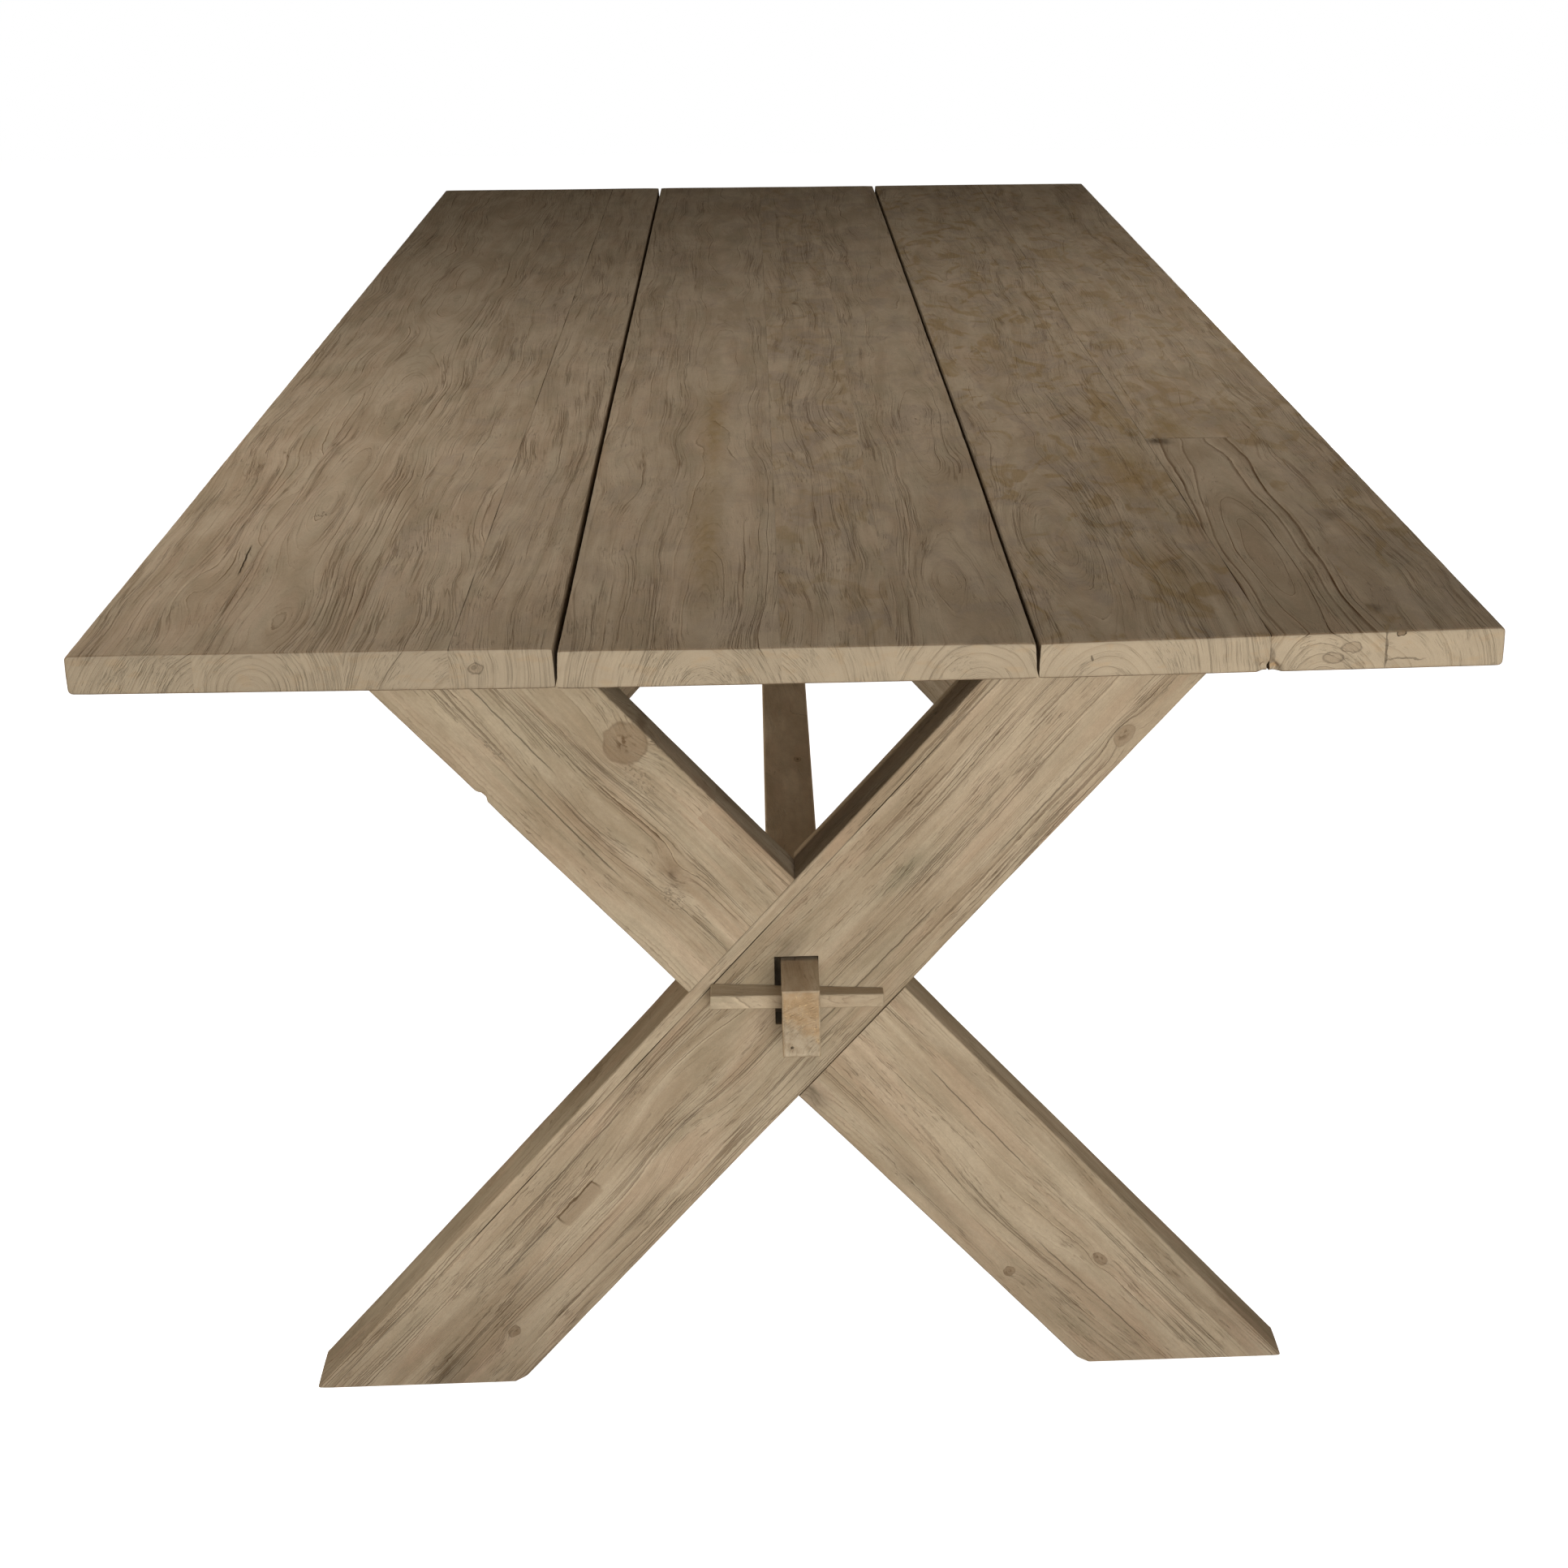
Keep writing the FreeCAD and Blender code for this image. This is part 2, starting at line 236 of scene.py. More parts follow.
class Value:
    """A number or colour that varies over a surface. Arithmetic on it adds Math nodes."""

    def __init__(self, finish, socket):
        self.finish = finish
        self.socket = socket

    def __add__(self, other):
        return self.finish.maths("ADD", self, other)

    __radd__ = __add__

    def __sub__(self, other):
        return self.finish.maths("SUBTRACT", self, other)

    def __rsub__(self, other):
        return self.finish.maths("SUBTRACT", other, self)

    def __mul__(self, other):
        return self.finish.maths("MULTIPLY", self, other)

    __rmul__ = __mul__

    def __truediv__(self, other):
        return self.finish.maths("DIVIDE", self, other)

    def __rtruediv__(self, other):
        return self.finish.maths("DIVIDE", other, self)

    def __pow__(self, other):
        return self.finish.maths("POWER", self, other)

    def __abs__(self):
        return self.finish.maths("ABSOLUTE", self)

    def __neg__(self):
        return self.finish.maths("MULTIPLY", self, -1)


class Finish:
    """A material, or a world, whose nodes are added one by one."""

    def __init__(self, name, store=None):
        self.material = (bpy.data.materials if store is None else store).new(name)
        self.material.use_nodes = True
        self.tree = self.material.node_tree
        self.tree.nodes.clear()

    def add(self, kind, settings=None, inputs=None, output=0):
        """Adds a node, applies its settings, then fills its sockets by name or number."""
        node = self.tree.nodes.new(kind)
        for key, setting in (settings or {}).items():
            setattr(node, key, setting)
        for key, value in (inputs or {}).items():
            socket = node.inputs[key]
            if isinstance(value, Value):
                self.tree.links.new(value.socket, socket)
            elif socket.type == "RGBA":
                socket.default_value = (*value[:3], 1)
            else:
                socket.default_value = value
        return Value(self, node.outputs[output])

    def split(self, vector):
        """The three numbers of a vector."""
        parts = self.add("ShaderNodeSeparateXYZ", None, {0: vector}).socket.node
        return tuple(Value(self, parts.outputs[axis]) for axis in "XYZ")

    def maths(self, operation, *values):
        return self.add("ShaderNodeMath", {"operation": operation}, dict(enumerate(values)))

    def vector_maths(self, operation, *values, output=0):
        settings = {"operation": operation}
        return self.add("ShaderNodeVectorMath", settings, dict(enumerate(values)), output)

    def rise(self, value, low, high):
        """0 below low, 1 above high and a smooth step between."""
        inputs = {"Value": value, "From Min": low, "From Max": high}
        return self.add("ShaderNodeMapRange", {"interpolation_type": "SMOOTHSTEP"}, inputs)

    def mix(self, factor, first, second):
        settings = {"data_type": "RGBA", "clamp_factor": True}
        return self.add("ShaderNodeMix", settings, {0: factor, 6: first, 7: second}, 2)

    def scaled(self, colour, factor):
        """A colour made darker or lighter by a number."""
        return self.add(
            "ShaderNodeVectorMath", {"operation": "SCALE"}, {0: colour, "Scale": factor}
        )

    def either(self, first, second):
        return self.maths("MAXIMUM", first, second)

    def noise(self, place, size, layer=0, detail=2.0, roughness=0.5, distortion=0.0):
        """Soft noise whose lumps have that size, in the units of place. Each layer differs."""
        stretch = tuple(1 / part for part in size)
        shift = (layer * 17.31, layer * 5.77, layer * 11.93)
        vector = self.vector_maths("MULTIPLY_ADD", place, stretch, shift)
        inputs = {
            "Vector": vector, "Scale": 1.0, "Detail": detail, "Roughness": roughness,
            "Distortion": distortion,
        }
        return self.add("ShaderNodeTexNoise", {"noise_dimensions": "3D"}, inputs)

    def noise_along(self, number, layer=0):
        """Soft noise that follows one number."""
        inputs = {"W": number + layer * 13.7, "Scale": 1.0, "Detail": 1.0}
        return self.add("ShaderNodeTexNoise", {"noise_dimensions": "1D"}, inputs)

    def lot(self, number):
        """A random number from 0 to 1 for each whole number."""
        return self.add("ShaderNodeTexWhiteNoise", {"noise_dimensions": "1D"}, {"W": number})

    def spot(self, across, along, oval):
        """1 at the centre and 0 far outside an oval, which is its centre and its radii."""
        centre_x, centre_y, radius_x, radius_y = oval
        sideways = (across - centre_x) / radius_x
        lengthways = (along - centre_y) / radius_y
        return self.maths("EXPONENT", -(sideways * sideways + lengthways * lengthways))

    def finished(self, colour, roughness, height=None, depth=0.0, **constants):
        """Ends the material in one Principled shader."""
        inputs = {"Base Color": colour, "Roughness": roughness, **constants}
        if height is not None:
            bump = {"Strength": 1.0, "Distance": depth, "Height": height}
            inputs["Normal"] = self.add("ShaderNodeBump", None, bump)
        shader = self.add("ShaderNodeBsdfPrincipled", None, inputs)
        self.add_output(shader)
        return self.material

    def add_output(self, shader, kind="ShaderNodeOutputMaterial"):
        output = self.tree.nodes.new(kind)
        self.tree.links.new(shader.socket, output.inputs["Surface"])

    def seen(self):
        """1 for what the camera sees, also in metal and through glass, and 0 for lighting."""
        direct, glossy, through = (
            self.add("ShaderNodeLightPath", output=f"Is {kind} Ray")
            for kind in ("Camera", "Glossy", "Transmission")
        )
        return self.either(self.either(direct, glossy), through)


# ---- how boards look

# Lengths are millimetres in the board's own frame. pith is where the tree's heart lies, across
# and through; sway is how far the rings wander; ring is the width of a year; width is how wide
# the line at its end is, bold the least strength of any line, ragged how much they jitter.
# lines, fine, dashes, checks, crumbs: how strongly each of these marks shows
# tone, end_tone: how light the faces and the sawn ends are; speckle: contrast of the texture
# ochre, ash, pink, moss, gold: how strongly that colour shows; foot_shade: painted shade, darker
# towards the foot
# mortise: painted shade inside it; hidden: where a tenon lies in its mortise, along the board,
# and gets painted shade
# knots: across, along, radius across, radius along, push of the rings, darkness
# stains: across, along, radius across, radius along, colour, strength
# pits: across, along, radius across, radius along, strength
# cracks: across, along, length, lean across, width, darkness
# joints: side of the board or place across it, strength
# inlays: left, right, near end, far end, darkness
# end_marks: across, through, radius across, radius through, colour, strength, on the front end
PLAIN = {
    "pith": (10, -60), "sway": 46, "ring": 4.2, "width": 1.0, "bold": 0.0, "ragged": 0.5,
    "lines": 0.75, "fine": 0.4, "dashes": 0.12, "checks": 0.4, "crumbs": 0.12,
    "tone": 1.0, "end_tone": 1.0, "speckle": 0.26,
    "ochre": 0.0, "ash": 0.0, "pink": 0.1, "moss": 0.2, "gold": 0.0, "foot_shade": 0.0,
    "mortise": 0.0, "hidden": None,
    "knots": (), "stains": (), "pits": (), "cracks": (), "joints": (), "inlays": (),
    "end_marks": (),
}
LEG = {
    "sway": 20, "ragged": 1.4, "lines": 0.5, "dashes": 0.25, "checks": 0.45, "crumbs": 0.35,
    "tone": 1.1, "speckle": 0.34, "pink": 0.18, "moss": 0.22, "foot_shade": 0.22,
}
BOARDS = {
    "plank_1_stave_1": {
        "pith": (64, -46), "ring": 3.8, "tone": 0.94, "end_tone": 0.82, "lines": 0.8, "bold": 0.3,
        "width": 1.3,
        "joints": (("right", 0.1),),
        "knots": ((33, -800, 15, 90, -12, 0), (8, -1010, 9, 60, -8, 0)),
        "cracks": ((37, -935, 95, -6, 0.8, 0.9),),
    },
    "plank_1_stave_2": {
        "pith": (-14, -30), "ring": 4.0, "tone": 0.93, "end_tone": 0.84, "lines": 0.8,
        "bold": 0.3, "width": 1.3,
        "knots": ((-24, -760, 16, 100, -17, 0), (8, -1075, 16, 70, -10, 0),
                  (-6, -470, 20, 150, -14, 0)),
        "pits": ((-20, -800, 6, 9, 0.6),),
    },
    "plank_1_stave_3": {"pith": (70, -60), "end_tone": 0.84, "tone": 0.90, "ash": 0.3},
    "plank_1_stave_4": {
        "pith": (-90, -30), "tone": 0.90, "end_tone": 0.86, "lines": 0.75,
        "joints": (("left", 0.7),), "ash": 0.2,
        "end_marks": ((-18, -15, 5, 4, "knot", 0.3), (-19, -15, 2, 2, "dirt_and_shade", 0.4)),
    },
    "plank_2_stave_1": {
        "pith": (26, -42), "tone": 0.88, "end_tone": 0.90, "lines": 0.7, "ash": 0.3,
        "knots": ((20, -1090, 16, 80, -12, 0), (-34, -640, 18, 120, 12, 0)),
        "stains": ((25, -520, 10, 170, "ochre", 0.55), (22, -900, 12, 120, "ochre", 0.5)),
        "joints": (("right", 0.2),),
    },
    "plank_2_stave_2": {
        "pith": (-70, -50), "tone": 0.89, "end_tone": 0.91, "ochre": 0.3, "ash": 0.5,
        "lines": 0.6,
        "knots": ((-5, 146, 5, 7, 6, 0.7), (10, -420, 18, 120, 10, 0)),
        "pits": ((-40, -985, 6, 8, 0.5),),
    },
    "plank_2_stave_3": {
        "pith": (12, -36), "tone": 0.87, "end_tone": 0.93, "lines": 0.7, "ash": 0.4,
        "knots": ((6, -560, 16, 130, -13, 0), (-8, -1010, 16, 90, -11, 0)),
    },
    "plank_3_stave_1": {
        "pith": (-36, -40), "tone": 0.91, "lines": 0.5, "ochre": 0.5, "ash": 0.5,
        "end_tone": 0.96, "end_marks": ((-44, -17, 1, 2.5, "dirt_and_shade", 0.7),),
        "knots": ((-36, -920, 26, 130, -22, 0), (20, -300, 24, 150, 14, 0)),
        "stains": ((50, -700, 22, 90, "ochre", 0.6), (62, -480, 14, 70, "ochre", 0.5),
                   (34, -1010, 20, 60, "ochre", 0.4)),
    },
    "plank_3_stave_2_front": {
        "pith": (2, -50), "tone": 0.90, "lines": 0.95, "ring": 9.5, "end_tone": 0.98,
        "bold": 0.7, "sway": 40, "width": 2.2,
        "knots": ((-8, -1100, 26, 260, -20, 0), (-8, -960, 15, 75, -9, 0)),
        "joints": (("left", 0.9), ("rear", 0.5)),
        "stains": ((-30, -590, 12, 12, "dirt_and_shade", 0.8),),
        "end_marks": ((4, -20, 7, 4, "knot", 0.25), (17, -13, 7, 4, "knot", 0.25),
                      (-40, -18, 3, 7, "dirt_and_shade", 0.4), (-38, -26, 3, 2, "gold", 0.5)),
    },
    "plank_3_stave_2_rear": {
        "pith": (40, -60), "tone": 0.93, "ochre": 0.4, "ash": 0.4, "lines": 0.5,
        "joints": (("left", 0.4),), "stains": ((-10, -540, 18, 60, "ochre", 0.5),),
    },
    "plank_3_stave_3": {
        "pith": (-60, -44), "tone": 0.91, "ochre": 0.4, "ash": 0.3, "lines": 0.6,
        "end_tone": 0.96,
        "end_marks": ((-32, -3, 3, 2, "knot", 0.8), (-28, -22, 14, 1, "dirt_and_shade", 0.5),
                      (-42, -12, 1.2, 16, "dirt_and_shade", 0.6)),
        "stains": ((-12, -856, 12, 16, "dirt_and_shade", 0.35), (-39, -1112, 6, 12, "dirt_and_shade", 0.45)),
    },
    "front_leg_over": {
        **LEG, "pith": (-96, -66), "mortise": 0.4, "tone": 1.145,
        "knots": ((52, 346, 7, 12, 6, 0.6), (29, -413, 5, 7, 5, 0.9),
                  (19, -170, 12, 34, 10, 0), (-28, -130, 14, 70, 12, 0)),
        # The two broad pale stains here are painted light: lighter patches where the arms catch
        # more light.
        "stains": ((0, 0, 120, 110, "moss", 0.3), (0, 330, 90, 130, "pale", 0.5),
                   (0, -300, 90, 110, "pale", 0.3), (-2, 144, 9, 30, "moss", 0.6),
                   (-32, 26, 9, 18, "dirt_and_shade", 0.30),
                   (56, -52, 8, 16, "dirt_and_shade", 0.18), (15, -480, 14, 24, "dirt_and_shade", 0.3)),
        "inlays": ((-15, -1, -299, -252, 0.4),),
        "cracks": ((-14.5, -340, 90, 0, 0.8, 0.55), (36, 60, 190, 3, 0.7, 0.5),
                   (44, 260, 150, -2, 0.7, 0.45), (-40, -260, 200, 2, 0.7, 0.4)),
        "joints": ((-57.4, 0.8),),
    },
    "front_leg_over_edge_strip": {**LEG, "pith": (-140, -40), "tone": 1.15},
    "front_leg_under": {
        **LEG, "pith": (88, -70), "foot_shade": 0.14, "tone": 1.16,
        "knots": ((-50, -257, 18, 19, 9, 0.75), (1, -150, 11, 15, 7, 0),
                  (52, 331, 5, 6, 5, 0.9), (-15, 378, 5, 7, 5, 0.8),
                  (16, -230, 12, 60, 12, 0), (20, 300, 18, 120, 14, 0)),
        "pits": ((16, -133, 9, 14, 0.3), (31, -324, 4, 14, 0.3), (-36, -226, 9, 20, 0.25)),
        # The broad pale stain here is painted light: a lighter patch where the lower arm catches
        # more light.
        "stains": ((0, -330, 120, 180, "moss", 0.25), (0, 250, 90, 160, "pale", 0.4),
                   (-45, -250, 8, 10, "knot", 0.35), (1, -150, 10, 15, "knot", 0.6),
                   (4, -148, 3, 5, "dirt_and_shade", 0.4),
                   (57, 82, 10, 16, "dirt_and_shade", 0.5), (22, -232, 7, 30, "knot", 0.35),
                   (50, 210, 9, 50, "dirt_and_shade", 0.2)),
        "cracks": ((8, -330, 120, 3, 0.7, 0.5), (34, -240, 150, 2, 0.7, 0.5),
                   (-30, 200, 160, 4, 0.7, 0.45), (12, 400, 180, -3, 0.7, 0.45)),
    },
    "front_leg_under_lower_strip": {**LEG, "pith": (-120, -50)},
    "rear_leg_over": {
        **LEG, "pith": (90, -76), "mortise": 0.4,
        "knots": ((-30, 260, 8, 14, 12, 0.6), (20, -300, 12, 50, 12, 0)),
        "joints": ((-57.4, 0.8),),
    },
    "rear_leg_over_edge_strip": {**LEG, "pith": (-120, -50), "tone": 1.12},
    "rear_leg_under": {
        **LEG, "pith": (-100, -70),
        "knots": ((24, -330, 10, 14, 10, 0.6), (10, 220, 12, 60, 12, 0)),
    },
    "rear_leg_under_upper_strip": {**LEG, "pith": (-130, -50)},
    "rear_leg_under_lower_strip": {**LEG, "pith": (-110, -60)},
    # The stretcher's high tone is painted light: its wood is made lighter because it stands in
    # the shade of the top.
    "stretcher": {
        "pith": (30, -90), "tone": 1.85, "gold": 1.0, "hidden": (868, 921),
        "knots": ((10, -500, 4, 7, 5, 0.8),),
        # The stain by the leg board is painted shade where the tenon meets the board.
        "stains": ((0, -930, 40, 30, "dirt_and_shade", 0.25),),
        "end_marks": ((-5.5, -72, 1.3, 1.3, "dirt_and_shade", 0.9),),
    },
    "front_rail": {"tone": 0.9},
    "middle_rail": {"tone": 0.9, "pith": (-20, -50)},
    "rear_rail": {"tone": 0.9, "pith": (30, -50)},
    "front_wedge": {"pith": (4, -60), "ring": 3.0, "tone": 1.16, "lines": 0.2,
                    "dashes": 0.2, "moss": 0.5},
    "rear_wedge": {"pith": (-3, -50), "ring": 3.0, "tone": 1.12, "lines": 0.2,
                   "dashes": 0.2, "moss": 0.5},
}
ORDER = tuple(BOARDS)
# This strip was sawn off its own board and glued back, so that the figure runs through.
SAWN_FROM = {"front_leg_under_upper_strip": "front_leg_under"}
for strip, board in SAWN_FROM.items():
    BOARDS[strip] = BOARDS[board]


class Timber(Finish):
    """The finish of one board: rings, grain, knots, stains, cracks, joints and end grain."""

    def __init__(self, node):
        super().__init__(node + "_timber")
        self.node = node
        self.look = {**PLAIN, **BOARDS[node]}
        self.hues = bpy.context.scene.sawbuck_colours
        self.layer = 1 + ORDER.index(SAWN_FROM.get(node, node))
        self.place = board_frame(node)
        self.top = node.startswith("plank_")
        self.coordinates = self.add("ShaderNodeTexCoord", output="Object")
        self.local = self.add(
            "ShaderNodeMapping", {"vector_type": "TEXTURE"},
            {"Vector": self.coordinates, "Location": self.place.translation,
             "Rotation": self.place.to_euler(), "Scale": (MM, MM, MM)},
        )
        self.across, self.along, self.through = self.split(self.local)
        self.small = self.cloud((6, 20, 6), 6.6, 2.0)
        self.mottle = self.cloud((3, 6, 3), 6.9, 3.0, 0.6)
        self.loose_across = self.across + (self.cloud((8, 12, 8), 12.3, 2.0) - 0.5) * 9
        self.loose_along = self.along + (self.cloud((10, 12, 10), 12.9, 2.0) - 0.5) * 16
        self.loose_through = self.through + (self.cloud((7, 30, 7), 12.6, 2.0) - 0.5) * 6

    def cloud(self, size, layer, *settings):
        """Noise in the board's own millimetres: across, along and through."""
        return self.noise(self.local, size, self.layer + layer, *settings)

    def streak(self, size, layer, *settings):
        """Noise that follows the figure: across the rings, along them and in their width."""
        return self.noise(self.grain, size, self.layer + layer, *settings)

    def strongest(self, first, second):
        """The larger of two masks, the first of which may not be there yet."""
        return second if first is None else self.either(first, second)

    def paint(self, mask, hue):
        """Lays one of the named colours over the colour so far."""
        self.colour = self.mix(mask, self.colour, getattr(self.hues, hue))

    def build(self):
        """The whole material."""
        self.grow_rings()
        self.draw_years()
        self.draw_pores()
        self.lay_ground()
        self.mark_face()
        normal = self.add("ShaderNodeTexCoord", output="Normal")
        grain_axis = tuple(self.place.to_3x3().col[1])
        facing = abs(self.vector_maths("DOT_PRODUCT", normal, grain_axis, output="Value"))
        sawn = self.rise(facing, 0.6, 0.85)
        if self.top:
            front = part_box(self.node)[0].y / MM
            arris = 1 - self.rise(self.along, front + 0.5, front + 3.5)
            self.paint(arris * 0.55, "line")
        face = self.colour
        self.show_end_grain()
        self.colour = self.mix(sawn, face, self.colour)
        grooves = self.settle_dirt_and_shade(sawn)
        height = self.fibre * 0.25 + self.speckle * 0.3 + self.mottle * 0.4 + self.lit * 0.2
        roughness = 0.72 + 0.12 * (self.fibre - 0.5) + 0.1 * self.lines
        constants = {"Specular IOR Level": 0.0}
        height -= grooves
        return self.finished(self.colour, roughness, height, GRAIN_DEPTH, **constants)

    def grow_rings(self):
        """Distance from the heart of the tree, wandering along the board and round knots."""
        look = self.look
        sideways = self.across - look["pith"][0]
        inwards = self.through - look["pith"][1]
        reach = (sideways * sideways + inwards * inwards) ** 0.5
        lean = sideways / reach
        reach += (self.cloud((170, 430, 170), 0) - 0.5) * look["sway"]
        reach += (self.cloud((48, 120, 48), 0.3) - 0.5) * (look["sway"] / 7)
        reach += (self.cloud((9, 60, 9), 0.6, 2.0) - 0.5) * 0.8
        reach += (self.mottle - 0.5) * look["ragged"]
        self.discs = self.covers = self.rims = self.hearts = None
        for centre_x, centre_y, radius_x, radius_y, push, dark in look["knots"]:
            wide_x, wide_y = radius_x * 1.3, radius_y * 1.3
            oval = (centre_x, centre_y, wide_x, wide_y)
            bulge = self.spot(self.across, self.along, oval) * push
            reach += bulge
            lean -= bulge * (self.across - centre_x) * (2 / wide_x ** 2)
            if dark:
                self.grow_knot((centre_x, centre_y, radius_x, radius_y), dark)
        self.reach = reach
        self.slope = abs(lean)
        self.steep = self.rise(self.slope, 0.35, 0.7)
        self.grain = self.add(
            "ShaderNodeCombineXYZ", None, {0: reach, 1: self.along, 2: self.across}
        )

    def grow_knot(self, oval, dark):
        """Adds a knot that shows, with its disc, its rim and its heart."""
        round_x = (self.across + self.loose_across) * 0.5
        round_y = (self.along + self.loose_along) * 0.5
        knot = self.spot(round_x, round_y, oval)
        disc = self.rise(knot, 0.32, 0.5)
        self.covers = self.strongest(self.covers, disc)
        self.discs = self.strongest(self.discs, disc * dark)
        self.rims = self.strongest(self.rims, disc * (1 - disc) * 4 * dark)
        self.hearts = self.strongest(self.hearts, self.rise(knot, 0.72, 0.98) * dark)

    def draw_years(self):
        """Ends each year in a dark line with a pale one behind it, both of even width. The pale
        one is partly a painted highlight of the raised grain.
        """
        look = self.look
        rings = self.reach / look["ring"] + self.noise_along(self.reach / 15, self.layer) * 2.2
        year = self.maths("FLOOR", rings)
        self.phase = self.maths("FRACT", rings)
        spread = look["ring"] / self.either(self.slope, 0.2)
        broken = self.rise(self.streak((3, 130, 28), 1.1), 0.38, 0.54)
        self.clumps = self.rise(self.streak((22, 210, 40), 1.6), 0.38, 0.58)
        bold, width = look["bold"], look["width"]
        shown = self.either((0.15 + 0.85 * self.clumps) * (0.3 + 0.7 * broken), bold)
        self.strong = bold + (1 - bold) * self.rise(self.lot(year + self.layer), 0.35, 1.0)
        before = bold + (1 - bold) * self.rise(self.lot(year + (self.layer - 1)), 0.35, 1.0)
        self.crisp = 1 - self.rise((1 - self.phase) * spread, 0.2 * width, 0.95 * width)
        self.lines = (self.crisp * 0.85 + self.phase ** 5 * 0.15) * self.strong * shown
        self.lit = (1 - self.rise(self.phase * spread, 0.4, 1.8)) * before * shown
        fine_rings = rings * 3.3 + 0.4
        fine_lot = self.lot(self.maths("FLOOR", fine_rings) + self.layer)
        self.fine_patch = self.rise(self.streak((14, 110, 30), 2.2), 0.42, 0.60)
        self.fine = self.maths("FRACT", fine_rings) ** 6 * fine_lot * self.fine_patch

    def draw_pores(self):
        """Short marks along the grain: dashes, drying checks, crumbled patches and fibres."""
        strokes = self.streak((0.6, 60, 7), 3.3, 2.0, 0.6)
        self.dashes = self.rise(strokes, 0.62, 0.74) * (0.1 + 0.9 * self.clumps) * self.steep
        splits = abs(self.streak((2.2, 210, 16), 3.8, 1.0) - 0.5)
        split_patch = self.rise(self.streak((11, 240, 24), 4.1), 0.50, 0.62)
        self.checks = (1 - self.rise(splits, 0.008, 0.045)) * split_patch * self.steep
        crumb_patch = self.rise(self.cloud((24, 60, 24), 5.7, 2.0), 0.46, 0.60)
        crumbs = self.rise(self.streak((0.8, 18, 4), 5.3, 2.0, 0.6), 0.56, 0.70)
        self.crumbs = crumbs * crumb_patch
        self.fibre = self.streak((0.55, 30, 7), 4.4, 2.0, 0.6)
        self.speckle = self.cloud((1.0, 1.8, 1.0), 4.9, 2.0, 0.7)

    def lay_ground(self):
        """The colour of the wood between its lines, with streaks, clouds and stains."""
        look, hues = self.look, self.hues
        bands = self.streak((9, 190, 34), 5.5, 3.0, 0.55)
        self.lumps = self.cloud((60, 160, 60), 5.9, 3.0, 0.55, 0.5)
        ground = bands * 0.6 + self.lumps * 0.5 + (self.small - 0.5) * 0.16
        pale, deep = (hues.top_pale, hues.top_deep) if self.top else (hues.pale, hues.deep)
        self.colour = self.mix(self.rise(ground, 0.40, 0.70), pale, deep)
        streaks = self.streak((3.5, 230, 12), 7.7, 2.0)
        rosy = streaks * 0.3 + self.cloud((26, 110, 26), 7.1, 2.0) * 0.7
        self.paint(self.rise(rosy, 0.48, 0.62) * look["pink"], "pink")
        smears = self.streak((5, 120, 20), 8.8, 3.0, 0.6)
        drab = smears * 0.3 + self.cloud((22, 80, 22), 8.2, 3.0) * 0.7
        self.paint(self.rise(drab, 0.49, 0.63) * look["moss"], "moss")
        if look["ash"]:
            veil = self.cloud((40, 70, 40), 9.3, 3.0, 0.55, 1.0)
            self.paint(self.rise(veil, 0.48, 0.64) * look["ash"], "ash")
        if look["ochre"]:
            blots = self.cloud((34, 80, 34), 9.9, 3.0, 0.5, 1.5)
            self.paint(self.rise(blots, 0.52, 0.66) * look["ochre"], "ochre")
        ragged = 0.4 + 1.2 * self.small
        for *oval, hue, strength in look["stains"]:
            stain = self.spot(self.loose_across, self.loose_along, oval) * ragged
            self.paint(stain * strength, hue)

    def mark_face(self):
        """Adds the knots, a let-in repair, the texture and the dark marks."""
        look = self.look
        marks = self.lines * look["lines"] + self.fine * look["fine"]
        marks += self.dashes * look["dashes"]
        marks += self.checks * look["checks"] + self.crumbs * look["crumbs"]
        if self.discs is not None:
            self.paint(self.discs * (0.25 + 0.9 * self.mottle), "knot")
            rims = self.rims * (0.1 + 0.6 * self.small)
            marks = self.either(marks * (1 - 0.9 * self.covers), rims)
            marks = self.either(marks, self.hearts * self.rise(self.mottle, 0.45, 0.6) * 0.9)
        for left, right, near, far, dark in look["inlays"]:
            beyond_x = abs(self.loose_across * 0.5 + self.across * 0.5 - (left + right) / 2)
            beyond_x -= (right - left) / 2
            beyond_y = abs(self.loose_along * 0.3 + self.along * 0.7 - (near + far) / 2)
            beyond = self.either(beyond_x, beyond_y - (far - near) / 2)
            worn = (1 - self.rise(beyond, -1.5, 0.5)) * (0.3 + self.mottle)
            self.paint(worn * dark, "knot")
            rim = 1 - self.rise(abs(beyond), 0.3, 1.5)
            rim *= 1 - self.rise(self.across, left, right)
            marks = self.either(marks, rim * 0.8)
        texture = self.fibre * 0.35 + self.speckle * 0.75 + self.mottle * 0.6 + self.small * 0.3
        pale_streaks = self.rise(self.streak((1.1, 70, 9), 5.2, 2.0), 0.56, 0.72)
        shade = 0.92 - look["speckle"] + look["speckle"] * texture
        # The pale line behind each year line is partly pale early wood and partly a painted
        # highlight of the raised grain.
        shade *= 1 + 0.18 * self.lit + 0.06 * pale_streaks
        # Painted shade on the stretcher from where its tenons enter the mortises outwards, taking
        # back part of its painted light.
        if look["hidden"]:
            shade *= 1 - 0.25 * self.rise(abs(self.along), *look["hidden"])
        # Painted shade: the legs are darker towards the foot.
        if look["foot_shade"]:
            above_floor = self.split(self.coordinates)[2]
            foot = (1 - self.rise(above_floor, 0.0, FOOT_SHADE_HEIGHT)) * (0.6 + 0.8 * self.lumps)
            shade *= 1 - foot * look["foot_shade"]
        self.colour = self.scaled(self.colour, shade * (look["tone"] * 1.08))
        self.paint(marks, "line")

